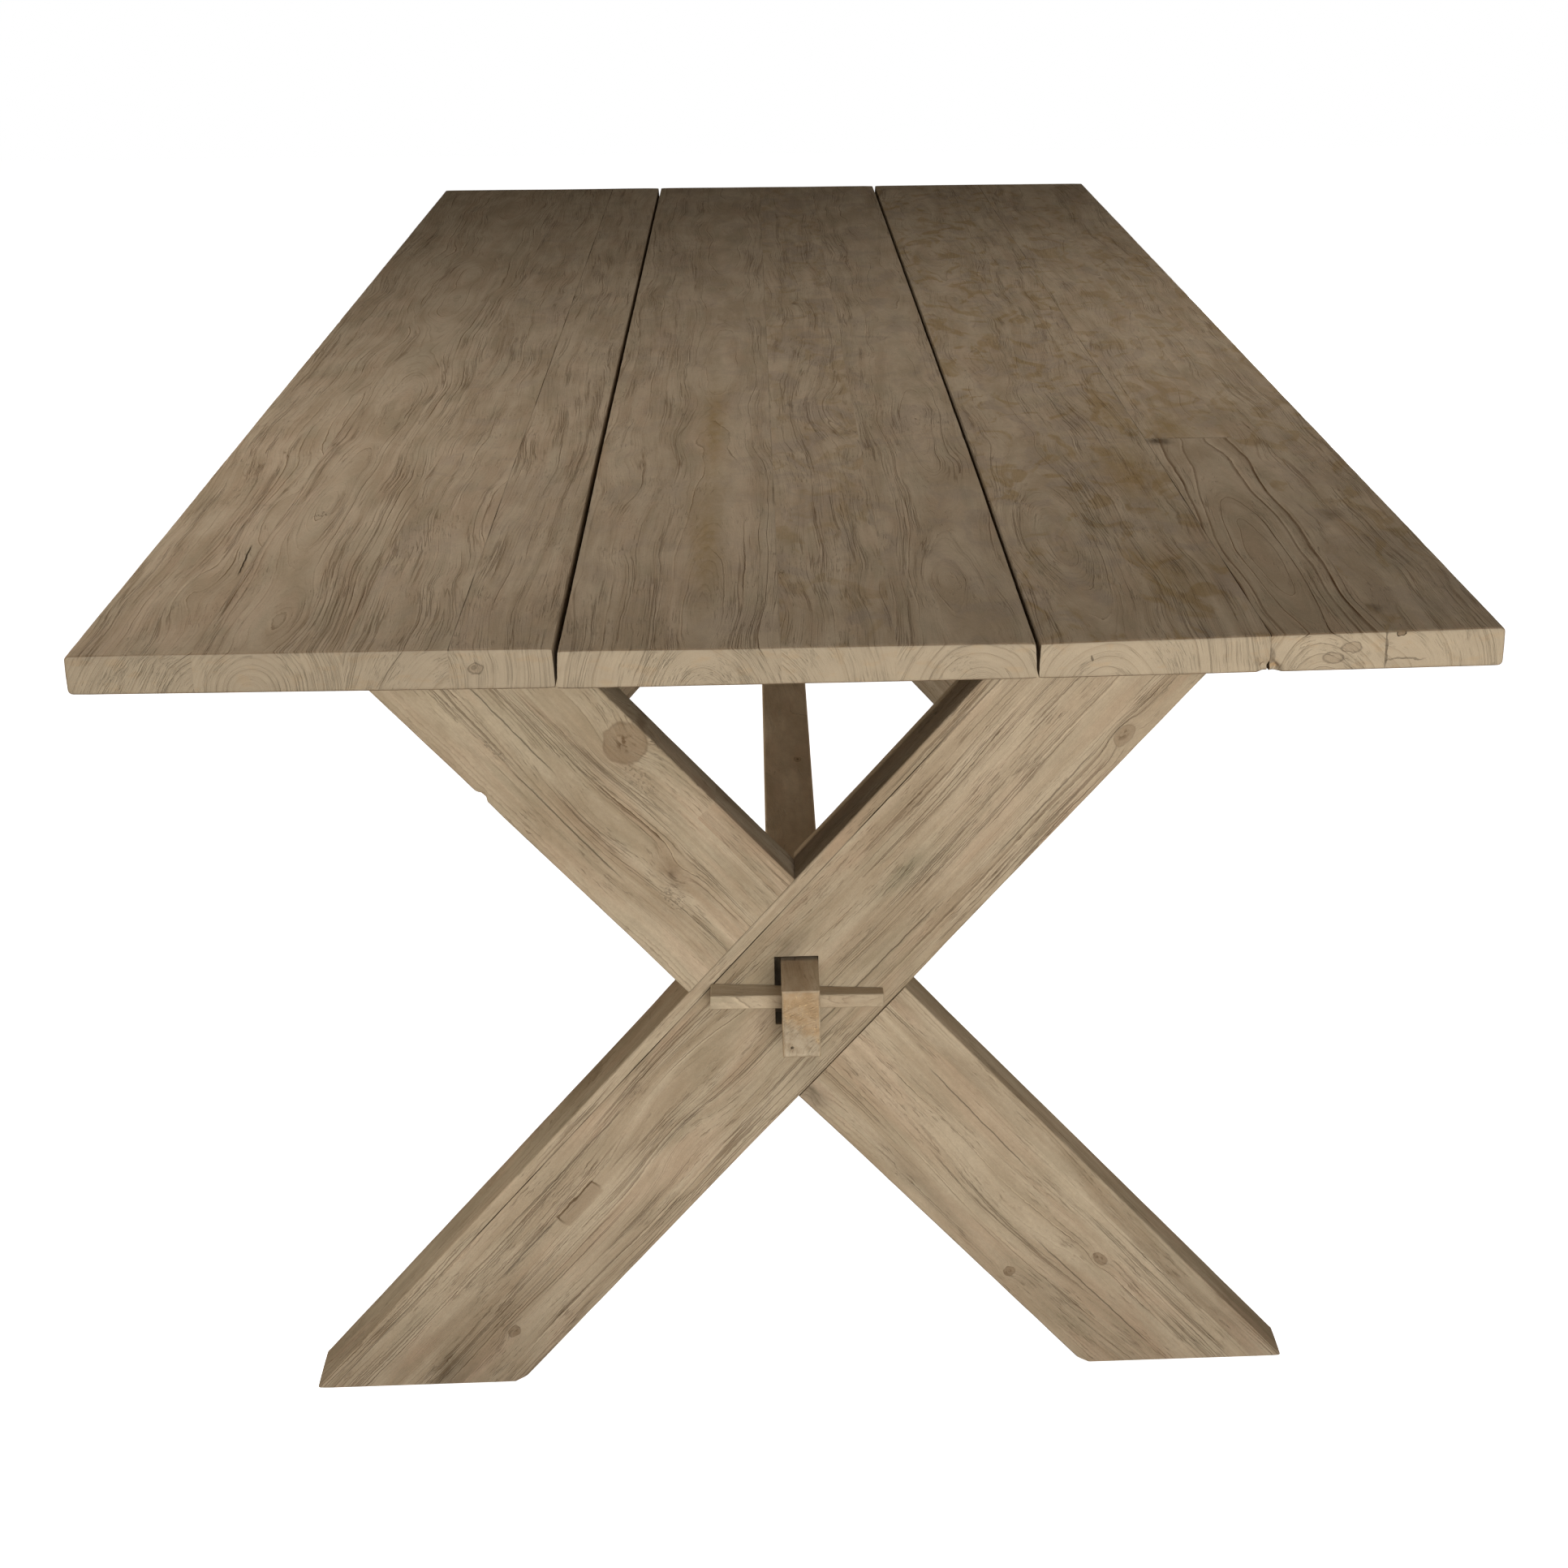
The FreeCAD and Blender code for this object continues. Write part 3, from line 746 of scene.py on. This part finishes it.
    def show_end_grain(self):
        """Sawn ends show the rings as arcs on paler wood."""
        look, hues = self.look, self.hues
        arcs = self.phase ** 2 * (0.1 + 0.5 * self.strong) + self.crisp * self.strong * 0.2
        arcs += self.fine * 0.2
        blots = self.cloud((20, 90, 12), 11, 3.0, 0.55, 0.6)
        self.colour = self.mix(arcs * (0.2 + blots), hues.end_pale, hues.end_deep)
        tan = self.rise(self.cloud((16, 60, 7), 11.6, 3.0), 0.54, 0.68)
        self.paint(tan * 0.15, "gold")
        if look["gold"]:
            self.show_raw_end()
        shade = 0.72 + 0.2 * self.lumps + 0.24 * blots + 0.12 * self.speckle
        self.colour = self.scaled(self.colour, look["end_tone"] * shade)
        front = 1 - self.rise(self.along, 0, 1)
        for *oval, hue, strength in look["end_marks"]:
            half_loose = (self.across + self.loose_across) * 0.5
            mark = self.spot(half_loose, self.loose_through, oval)
            mark = self.rise(mark, 0.25, 0.55) * front
            self.paint(mark * strength * (0.4 + self.mottle), hue)
            if hue == "knot":
                self.paint(mark * (1 - mark) * (6 * strength), "dirt_and_shade")

    def show_raw_end(self):
        """The end of a tenon, broken out and golden in its upper part."""
        hues = self.hues
        raw = self.loose_through + self.across * 0.7 + (self.small - 0.5) * 16
        raw = self.rise(raw, -60, -48)
        rough = self.cloud((6, 9, 6), 13.3, 4.0, 0.65)
        worn = self.rise(rough, 0.4, 0.65)
        self.colour = self.mix(worn * 0.6, hues.end_pale, hues.end_deep)
        self.paint(raw * (0.1 + 0.75 * rough), "gold")
        self.paint(self.rise(rough, 0.56, 0.68) * 0.4, "end_deep")
        gleam = self.rise(self.cloud((2.4, 9, 2.4), 13.9, 3.0), 0.60, 0.70)
        self.colour = self.mix(gleam * raw * 0.5, self.colour, GLEAM)
        chipped = 1 - self.rise(self.loose_through, -78, -74)
        self.colour = self.mix(chipped * 0.3, self.colour, CHIPPED)

    def settle_dirt_and_shade(self, sawn):
        """Darkens joints, cracks and pits, paints shade inside the mortise and on the tenon that
        lies in it, and gives how deep all marks are.
        """
        look = self.look
        clefts = self.open_clefts(sawn)
        # Painted shade inside the mortise.
        if look["mortise"]:
            away = self.across * self.across + self.along * self.along
            inside = 1 - self.rise(away, 44 ** 2, 52 ** 2)
            inside *= 1 - self.rise(self.through, -4, -1)
            self.paint(inside * look["mortise"], "dirt_and_shade")
        # Painted shade on the tenon where it lies inside the mortise.
        if look["hidden"]:
            start, stop = look["hidden"]
            depth = abs(self.along)
            inside = self.rise(depth, start, start + 4) * (1 - self.rise(depth, stop - 8, stop))
            self.paint(inside * 0.6, "dirt_and_shade")
        grooves = self.lines * 0.9 + self.dashes * 0.5 + self.fine * 0.4 + self.checks * 0.7
        grooves += self.crumbs * 0.6
        if clefts is not None:
            self.paint(clefts, "dirt_and_shade")
            grooves = self.either(grooves, clefts * 2)
        if self.discs is not None:
            grooves += self.discs * self.mottle * 0.8
        return grooves

    def open_clefts(self, sawn):
        """Glued joints, cracks and pits, or None where the board has none."""
        look = self.look
        low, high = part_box(self.node)
        half_width = (high.x - low.x) / 2 / MM
        edges = {"left": self.across + half_width, "right": half_width - self.across,
                 "rear": high.y / MM - self.along}
        clefts = None
        for side, strength in look["joints"]:
            beside = edges[side] if side in edges else abs(self.across - side)
            cleft = (1 - self.rise(beside, 0.2, 1.1)) * strength * (0.5 + 0.8 * self.fine_patch)
            clefts = self.strongest(clefts, cleft * (1 - 0.7 * sawn))
        for centre_x, centre_y, length, lean, width, dark in look["cracks"]:
            bend = self.loose_across * 0.25 + self.across * 0.75
            bend -= (self.along - centre_y) * (lean / length)
            beyond = abs(self.along - centre_y) / (length / 2)
            cleft = 1 - self.rise(abs(bend - centre_x), width * 0.35, width)
            cleft *= 1 - self.rise(beyond, 0.6, 1.0)
            clefts = self.strongest(clefts, cleft * dark)
        holes = self.rise(self.cloud((1.9, 3.0, 1.9), 10.4, 1.0), 0.56, 0.64)
        for *oval, strength in look["pits"]:
            pocked = self.rise(self.spot(self.across, self.along, oval), 0.25, 0.6)
            clefts = self.strongest(clefts, pocked * holes * strength)
        return clefts


def zinc(node):
    """Dull zinc-plated steel with darker blooms."""
    hues = bpy.context.scene.sawbuck_colours
    make = Finish(node + "_zinc")
    place = make.add("ShaderNodeTexCoord", output="Object")
    blooms = make.noise(place, (0.004, 0.004, 0.004), 1, 3.0)
    scuffs = make.noise(place, (0.0006, 0.0006, 0.004), 2, 2.0)
    colour = make.mix(make.rise(blooms, 0.4, 0.65), hues.steel, STAINED_ZINC)
    roughness = 0.36 + 0.3 * blooms + 0.1 * scuffs
    return make.finished(colour, roughness, scuffs, 0.00005, Metallic=1.0)


# ---- mesh work


def smooth_step(value):
    value = min(1.0, max(0.0, value))
    return value * value * (3 - 2 * value)


def between(value, start, end):
    """How far value has come from start to end, eased at both."""
    return smooth_step((value - start) / (end - start))


def lumpy(place, scale, seed):
    """Smooth noise from 0 to 1 with that many lumps to the metre on each axis."""
    point = Vector(part * size for part, size in zip(place, scale))
    return 0.5 + 0.5 * noise.noise(point + Vector((seed * 7.3, seed * 3.1, seed * 5.7)))


def copy_of(node, place):
    """A merged copy of a CAD node's mesh, moved into the board's own frame."""
    bm = bmesh.new()
    bm.from_mesh(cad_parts[node].data)
    bmesh.ops.remove_doubles(bm, verts=bm.verts, dist=MERGE_DISTANCE)
    bmesh.ops.dissolve_limit(bm, angle_limit=FLAT_ANGLE, verts=bm.verts, edges=bm.edges)
    bmesh.ops.transform(bm, matrix=place.inverted(), verts=bm.verts)
    return bm


def extent(bm):
    low = Vector(min(v.co[axis] for v in bm.verts) for axis in range(3))
    high = Vector(max(v.co[axis] for v in bm.verts) for axis in range(3))
    return low, high


def cut(bm, axis, position):
    """Adds a loop of edges where a plane crosses the mesh."""
    normal = Vector((0, 0, 0))
    normal[axis] = 1
    geometry = bm.verts[:] + bm.edges[:] + bm.faces[:]
    bmesh.ops.bisect_plane(
        bm, geom=geometry, dist=MERGE_DISTANCE, plane_co=normal * position, plane_no=normal
    )


def slice_board(bm, steps, margin):
    """Cuts a board into cells, with close cuts beside its outer edges."""
    low, high = extent(bm)
    for axis, step in enumerate(steps):
        span = high[axis] - low[axis]
        if not step or span < 3 * margin:
            continue
        places = [low[axis] + margin, high[axis] - margin]
        count = max(1, round((span - 2 * margin) / step))
        places += [places[0] + (places[1] - places[0]) * i / count for i in range(1, count)]
        for position in places:
            cut(bm, axis, position)


def refine(bm, centre, radius, size):
    """Divides the edges round a point until they are about as short as size."""
    for _ in range(4):
        edges = [
            edge for edge in bm.edges
            if edge.calc_length() > size
            and ((edge.verts[0].co + edge.verts[1].co) / 2 - centre).length < radius
        ]
        if not edges:
            return
        bmesh.ops.subdivide_edges(bm, edges=edges, cuts=1, use_grid_fill=True)
        wide = [face for face in bm.faces if len(face.verts) > 4]
        bmesh.ops.triangulate(bm, faces=wide)


def rough_board(node, steps, margin=OUTER_CELL):
    """A sliced copy of a board in its own frame, with that frame and the copy's extent."""
    place = board_frame(node)
    bm = copy_of(node, place)
    low, high = extent(bm)
    slice_board(bm, steps, margin)
    return bm, place, low, high


def dent(bm, centre, radius, push, seed):
    """Wears a hollow with a ragged floor. Lengths in millimetres."""
    centre = Vector(centre) * MM
    radius *= MM
    push = Vector(push) * MM
    refine(bm, centre, radius * 1.3, radius / 4)
    for vert in bm.verts:
        distance = (vert.co - centre).length / radius
        if distance < 1:
            ragged = 0.55 + 0.9 * lumpy(vert.co, (260, 90, 260), seed)
            vert.co += push * smooth_step(1 - distance) * ragged


def rub_edges(bm, low, high, depth, seed, offset, sheltered=0.0):
    """Rubs the long edges of the section unevenly, but not where another board shelters them."""
    reach = 0.006
    for vert in bm.verts:
        from_side = min(vert.co.x - low.x, high.x - vert.co.x)
        from_face = min(vert.co.z - low.z, high.z - vert.co.z)
        if from_side > reach or from_face > reach:
            continue
        weight = (1 - max(0, from_side) / reach) * (1 - max(0, from_face) / reach)
        slow = lumpy(vert.co + offset, (3, 9, 3), seed)
        quick = lumpy(vert.co + offset, (9, 60, 9), seed)
        amount = depth * weight * (0.3 + 0.3 * slow + 0.4 * quick ** 3)
        if sheltered:
            amount *= 0.15 + 0.85 * between(abs(vert.co.y), sheltered * 0.8, sheltered * 1.2)
        vert.co.x += amount if vert.co.x < (low.x + high.x) / 2 else -amount
        vert.co.z += amount if vert.co.z < (low.z + high.z) / 2 else -amount


def ripple(bm, low, high, depth, seed, offset):
    """Lowers the wide faces a little where the plane bit deeper."""
    thickness = high.z - low.z
    for vert in bm.verts:
        height = (vert.co.z - low.z) / thickness
        swell = lumpy(vert.co + offset, (11, 2.2, 0), seed)
        vert.co.z -= depth * swell * height


def finish_piece(bm, place, node, body="table"):
    """Turns the mesh into the piece that stands for a CAD node."""
    bmesh.ops.transform(bm, matrix=place, verts=bm.verts)
    low, high = CAD_BOX
    for vert in bm.verts:
        vert.co = Vector(min(max(part, a), b) for part, a, b in zip(vert.co, low, high))
    bmesh.ops.dissolve_degenerate(bm, dist=SHORTEST_EDGE, edges=bm.edges)
    wide = [face for face in bm.faces if len(face.verts) > 4]
    bmesh.ops.triangulate(bm, faces=wide)
    bm.normal_update()
    for face in bm.faces:
        face.smooth = True
    for edge in bm.edges:
        edge.smooth = edge.calc_face_angle(0) < SHARP_ANGLE
    mesh = bpy.data.meshes.new(node + "_worn")
    bm.to_mesh(mesh)
    bm.free()
    piece = bpy.data.objects.new(node + "_worn", mesh)
    bpy.context.scene.collection.objects.link(piece)
    mesh.materials.append(Timber(node).build())
    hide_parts(node)
    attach(piece, body)


# Hollows worn in the boards: (centre, radius, push), millimetres in the board's own frame.
HOLLOWS = {
    "front_leg_under": (
        ((-50, -257, 0), 21, (0, 0, -1.6)),
        ((-44, -225, 0), 14, (0, 0, -1.2)),
        ((1, -150, 0), 15, (0, 0, -1.4)),
        ((16, -133, 0), 9, (0, 0, -1.2)),
        ((67, -303, -3), 8, (-3.2, 0, -1.5)),
        ((68, -296, -14), 9, (-2.4, 0, 0)),
        ((58, 82, 0), 12, (0, 0, -1.2)),
    ),
    "front_leg_over": (
        ((52, 346, 0), 9, (0, 0, -1.0)),
        ((2, 146, 0), 12, (0, 0, -0.8)),
    ),
    "plank_3_stave_2_front": (
        ((-40, -1170, -24), 9, (0, 3.2, 0)),
        ((-38, -1170, -27), 8, (2.0, 2.4, 2.4)),
    ),
    "plank_3_stave_1": (
        ((80, -1170, -26), 9, (-1.6, 3.0, 2.2)),
    ),
    "plank_2_stave_2": (
        ((-5, 146, 0), 7, (0, 0, -1.4)),
    ),
}

# How far the front end of each plank hangs below the rest: at its left and right edges, for its
# upper and its lower face.
DROOP = {
    "plank_1": ((0.0, 1.2), (0.0, 2.3)),
    "plank_2": ((3.5, 4.6), (2.9, 2.6)),
    "plank_3": ((4.9, 0.0), (2.5, 0.0)),
}
# How far back from the front end each of these faces hangs.
UPPER_DROOP = 0.60
LOWER_DROOP = 0.22


def hang(bm, plank, place, thickness):
    """Lets the front end of a plank hang, mostly in its upper face."""
    low = min(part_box(node)[0].x for node in PLANKS[plank])
    high = max(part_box(node)[1].x for node in PLANKS[plank])
    upper, lower = DROOP[plank]
    front = CAD_BOX[0].y
    for vert in bm.verts:
        share = (vert.co.x + place.translation.x - low) / (high - low)
        height = 1 + vert.co.z / thickness
        top = (upper[0] + (upper[1] - upper[0]) * share) * MM
        bottom = (lower[0] + (lower[1] - lower[0]) * share) * MM
        top *= 1 - between(vert.co.y, front, front + UPPER_DROOP)
        bottom *= 1 - between(vert.co.y, front, front + LOWER_DROOP)
        vert.co.z -= top * height + bottom * (1 - height)


def saw_ends(bm, depth, seed, offset):
    """Leaves the sawn ends slightly uneven, always inside their old plane."""
    reach = 0.005
    low, high = extent(bm)
    for vert in bm.verts:
        rough = depth * lumpy(vert.co + offset, (26, 0, 60), seed)
        vert.co.y += rough * (1 - between(vert.co.y, low.y, low.y + reach))
        vert.co.y -= rough * between(vert.co.y, high.y - reach, high.y)


class SAWBUCK_OT_planks(bpy.types.Operator):
    """Makes the staves of the three planks of the top"""

    bl_idname = "sawbuck.planks"
    bl_label = "Planks"

    def execute(self, context):
        wear = context.scene.sawbuck_wear
        for number, (plank, staves) in enumerate(PLANKS.items()):
            plank_low = min(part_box(node)[0].x for node in staves)
            plank_high = max(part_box(node)[1].x for node in staves)
            for node in staves:
                steps = (wear.slice_across, wear.slice_along, 0.010)
                bm, place, low, high = rough_board(node, steps)
                offset = Vector((place.translation.x, 0, 0))
                low.x = plank_low - offset.x
                high.x = plank_high - offset.x
                saw_ends(bm, wear.saw, number, offset)
                rub_edges(bm, low, high, wear.edge, number, offset)
                ripple(bm, low, high, wear.ripple, number, offset)
                for hollow in HOLLOWS.get(node, ()):
                    dent(bm, *hollow, number)
                hang(bm, plank, place, high.z - low.z)
                finish_piece(bm, place, node)
        return {"FINISHED"}


class SAWBUCK_OT_rails(bpy.types.Operator):
    """Makes the rails that hold the planks together"""

    bl_idname = "sawbuck.rails"
    bl_label = "Rails"

    def execute(self, context):
        wear = context.scene.sawbuck_wear
        for number, node in enumerate(RAILS):
            steps = (wear.slice_across, wear.slice_along, 0)
            bm, place, low, high = rough_board(node, steps)
            rub_edges(bm, low, high, wear.edge / 2, number, Vector())
            finish_piece(bm, place, node)
        return {"FINISHED"}


class SAWBUCK_OT_screws(bpy.types.Operator):
    """Gives the screws in the rails their zinc"""

    bl_idname = "sawbuck.screws"
    bl_label = "Screws"

    def execute(self, context):
        for rail in RAILS:
            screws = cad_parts[rail + "_screws"]
            screws.data.materials.clear()
            screws.data.materials.append(zinc(rail))
        return {"FINISHED"}


class SAWBUCK_OT_trestles(bpy.types.Operator):
    """Makes the boards and glued strips of the two trestles"""

    bl_idname = "sawbuck.trestles"
    bl_label = "Trestles"

    def execute(self, context):
        wear = context.scene.sawbuck_wear
        for end, side in enumerate(("front", "rear")):
            for number, piece in enumerate(LEG_PIECES):
                node = f"{side}_{piece}"
                steps = (wear.slice_across, wear.slice_along, 0.015)
                bm, place, low, high = rough_board(node, steps)
                low.x, high.x = -LEG_HALF_WIDTH, LEG_HALF_WIDTH
                seed = 10 + 10 * end + (number > 1)
                rub_edges(bm, low, high, wear.edge, seed, Vector(), 0.1)
                for hollow in HOLLOWS.get(node, ()):
                    dent(bm, *hollow, seed)
                finish_piece(bm, place, node)
        return {"FINISHED"}


class SAWBUCK_OT_stretcher(bpy.types.Operator):
    """Makes the stretcher and its through tenons"""

    bl_idname = "sawbuck.stretcher"
    bl_label = "Stretcher"

    def execute(self, context):
        wear = context.scene.sawbuck_wear
        steps = (wear.slice_across, wear.slice_along, 0.012)
        bm, place, low, high = rough_board("stretcher", steps, 0.003)
        rub_edges(bm, low, high, wear.edge / 2, 40, Vector())
        saw_ends(bm, wear.saw, 41, Vector())
        finish_piece(bm, place, "stretcher")
        return {"FINISHED"}


class SAWBUCK_OT_wedges(bpy.types.Operator):
    """Makes the loose wedges through the tenons"""

    bl_idname = "sawbuck.wedges"
    bl_label = "Wedges"

    def execute(self, context):
        for node in WEDGES:
            bm, place, _, _ = rough_board(node, (0.003, 0.006, 0.006), 0.0015)
            finish_piece(bm, place, node, node)
        return {"FINISHED"}


# Lamps: place, target, width, the setting that holds the power, and the share of it.
LAMPS = {
    "front_lamp": ((0.5, -5.2, 1.05), (0, -1.0, 0.45), 2.6, "front_power", 1.0),
    "upper_lamp": ((-0.87, -0.74, 1.75), (-0.1, -0.6, 0.7), 0.8, "upper_power", 1.0),
    "right_upper_lamp": ((1.04, -0.1, 1.6), (0.2, 0.3, 0.7), 0.8, "upper_power", 0.58),
    "rear_lamp": ((0.6, 4.6, 0.62), (0, 0.9, 0.45), 1.2, "fill_power", 1.1),
    "left_lamp": ((-4.2, -0.9, 1.1), (0, -0.2, 0.45), 0.2, "fill_power", 0.78),
    "right_lamp": ((4.2, -0.9, 1.1), (0, -0.2, 0.45), 0.4, "fill_power", 0.40),
}
SIDE_LAMPS = ("left_lamp", "right_lamp")


class SAWBUCK_OT_studio(bpy.types.Operator):
    """Sets up the floor, the lamps, the sky and the camera"""

    bl_idname = "sawbuck.studio"
    bl_label = "Studio"

    def execute(self, context):
        studio = context.scene.sawbuck_studio
        self.lay_floor(studio)
        for name, (place, target, size, setting, share) in LAMPS.items():
            lamp = self.hang_lamp(name, place, target, size, getattr(studio, setting) * share)
            if name in SIDE_LAMPS:
                lamp.color = studio.side_colour
        self.light_sky(context, studio)
        self.place_camera(context, studio)
        context.scene.view_settings.view_transform = "Standard"
        return {"FINISHED"}

    def lay_floor(self, studio):
        bm = bmesh.new()
        below_feet = Matrix.Translation((0, 0, -FLOOR_GAP))
        bmesh.ops.create_grid(
            bm, x_segments=1, y_segments=1, size=studio.floor_size / 2, matrix=below_feet
        )
        mesh = bpy.data.meshes.new("floor")
        bm.to_mesh(mesh)
        bm.free()
        floor = bpy.data.objects.new("floor", mesh)
        bpy.context.scene.collection.objects.link(floor)
        make = Finish("floor_paint")
        shown = make.seen()
        bright = make.add("ShaderNodeBsdfDiffuse", None, {"Color": (0.9, 0.9, 0.9)})
        glow = make.add("ShaderNodeEmission", None, {"Color": (1, 1, 1), "Strength": FLOOR_GLOW})
        pale = make.add("ShaderNodeAddShader", None, {0: bright, 1: glow})
        dull = make.add("ShaderNodeBsdfDiffuse", None, {"Color": FLOOR_BOUNCE})
        make.add_output(make.add("ShaderNodeMixShader", None, {0: shown, 1: dull, 2: pale}))
        mesh.materials.append(make.material)

    def hang_lamp(self, name, place, target, size, power):
        lamp = bpy.data.lights.new(name, "AREA")
        lamp.shape = "DISK"
        lamp.size = size
        lamp.energy = power
        holder = bpy.data.objects.new(name, lamp)
        holder.location = place
        direction = Vector(target) - Vector(place)
        holder.rotation_euler = direction.to_track_quat("-Z", "Y").to_euler()
        holder.visible_glossy = False
        holder.visible_camera = False
        bpy.context.scene.collection.objects.link(holder)
        return lamp

    def light_sky(self, context, studio):
        make = Finish("studio_sky", bpy.data.worlds)
        seen = make.seen()
        colour = make.mix(seen, studio.sky_colour, (1, 1, 1))
        strength = studio.sky + seen * (1 - studio.sky)
        shader = make.add("ShaderNodeBackground", None, {"Color": colour, "Strength": strength})
        make.add_output(shader, "ShaderNodeOutputWorld")
        context.scene.world = make.material

    def place_camera(self, context, studio):
        lens = bpy.data.cameras.new("camera")
        lens.sensor_width = 36
        lens.lens = studio.lens
        lens.shift_x = studio.shift
        lens.clip_end = 100
        camera = bpy.data.objects.new("camera", lens)
        camera.location = studio.camera_place
        camera.rotation_euler = studio.camera_turn
        context.scene.collection.objects.link(camera)
        context.scene.camera = camera


class SAWBUCK_PT_pieces(bpy.types.Panel):
    """Lists the pieces of the table"""

    bl_label = "Sawbuck table"
    bl_space_type = "VIEW_3D"
    bl_region_type = "UI"
    bl_category = "Sawbuck"

    def draw(self, context):
        for operator in OPERATORS:
            self.layout.operator(operator.bl_idname)
        for settings in SETTINGS:
            box = self.layout.box()
            group = getattr(context.scene, settings)
            for name in group.__annotations__:
                box.prop(group, name)


OPERATORS = (
    SAWBUCK_OT_studio,
    SAWBUCK_OT_planks,
    SAWBUCK_OT_rails,
    SAWBUCK_OT_screws,
    SAWBUCK_OT_trestles,
    SAWBUCK_OT_stretcher,
    SAWBUCK_OT_wedges,
)
SETTINGS = {
    "sawbuck_colours": TimberColours,
    "sawbuck_wear": WearSizes,
    "sawbuck_studio": StudioSettings,
}


def register():
    for cls in (*SETTINGS.values(), *OPERATORS, SAWBUCK_PT_pieces):
        bpy.utils.register_class(cls)
    for name, group in SETTINGS.items():
        setattr(bpy.types.Scene, name, PointerProperty(type=group))


def unregister():
    for name in SETTINGS:
        delattr(bpy.types.Scene, name)
    for cls in reversed((*SETTINGS.values(), *OPERATORS, SAWBUCK_PT_pieces)):
        bpy.utils.unregister_class(cls)


def main():
    register()
    bpy.ops.sawbuck.studio()
    bpy.ops.sawbuck.planks()
    bpy.ops.sawbuck.rails()
    bpy.ops.sawbuck.screws()
    bpy.ops.sawbuck.trestles()
    bpy.ops.sawbuck.stretcher()
    bpy.ops.sawbuck.wedges()


if __name__ == "__main__":
    main()
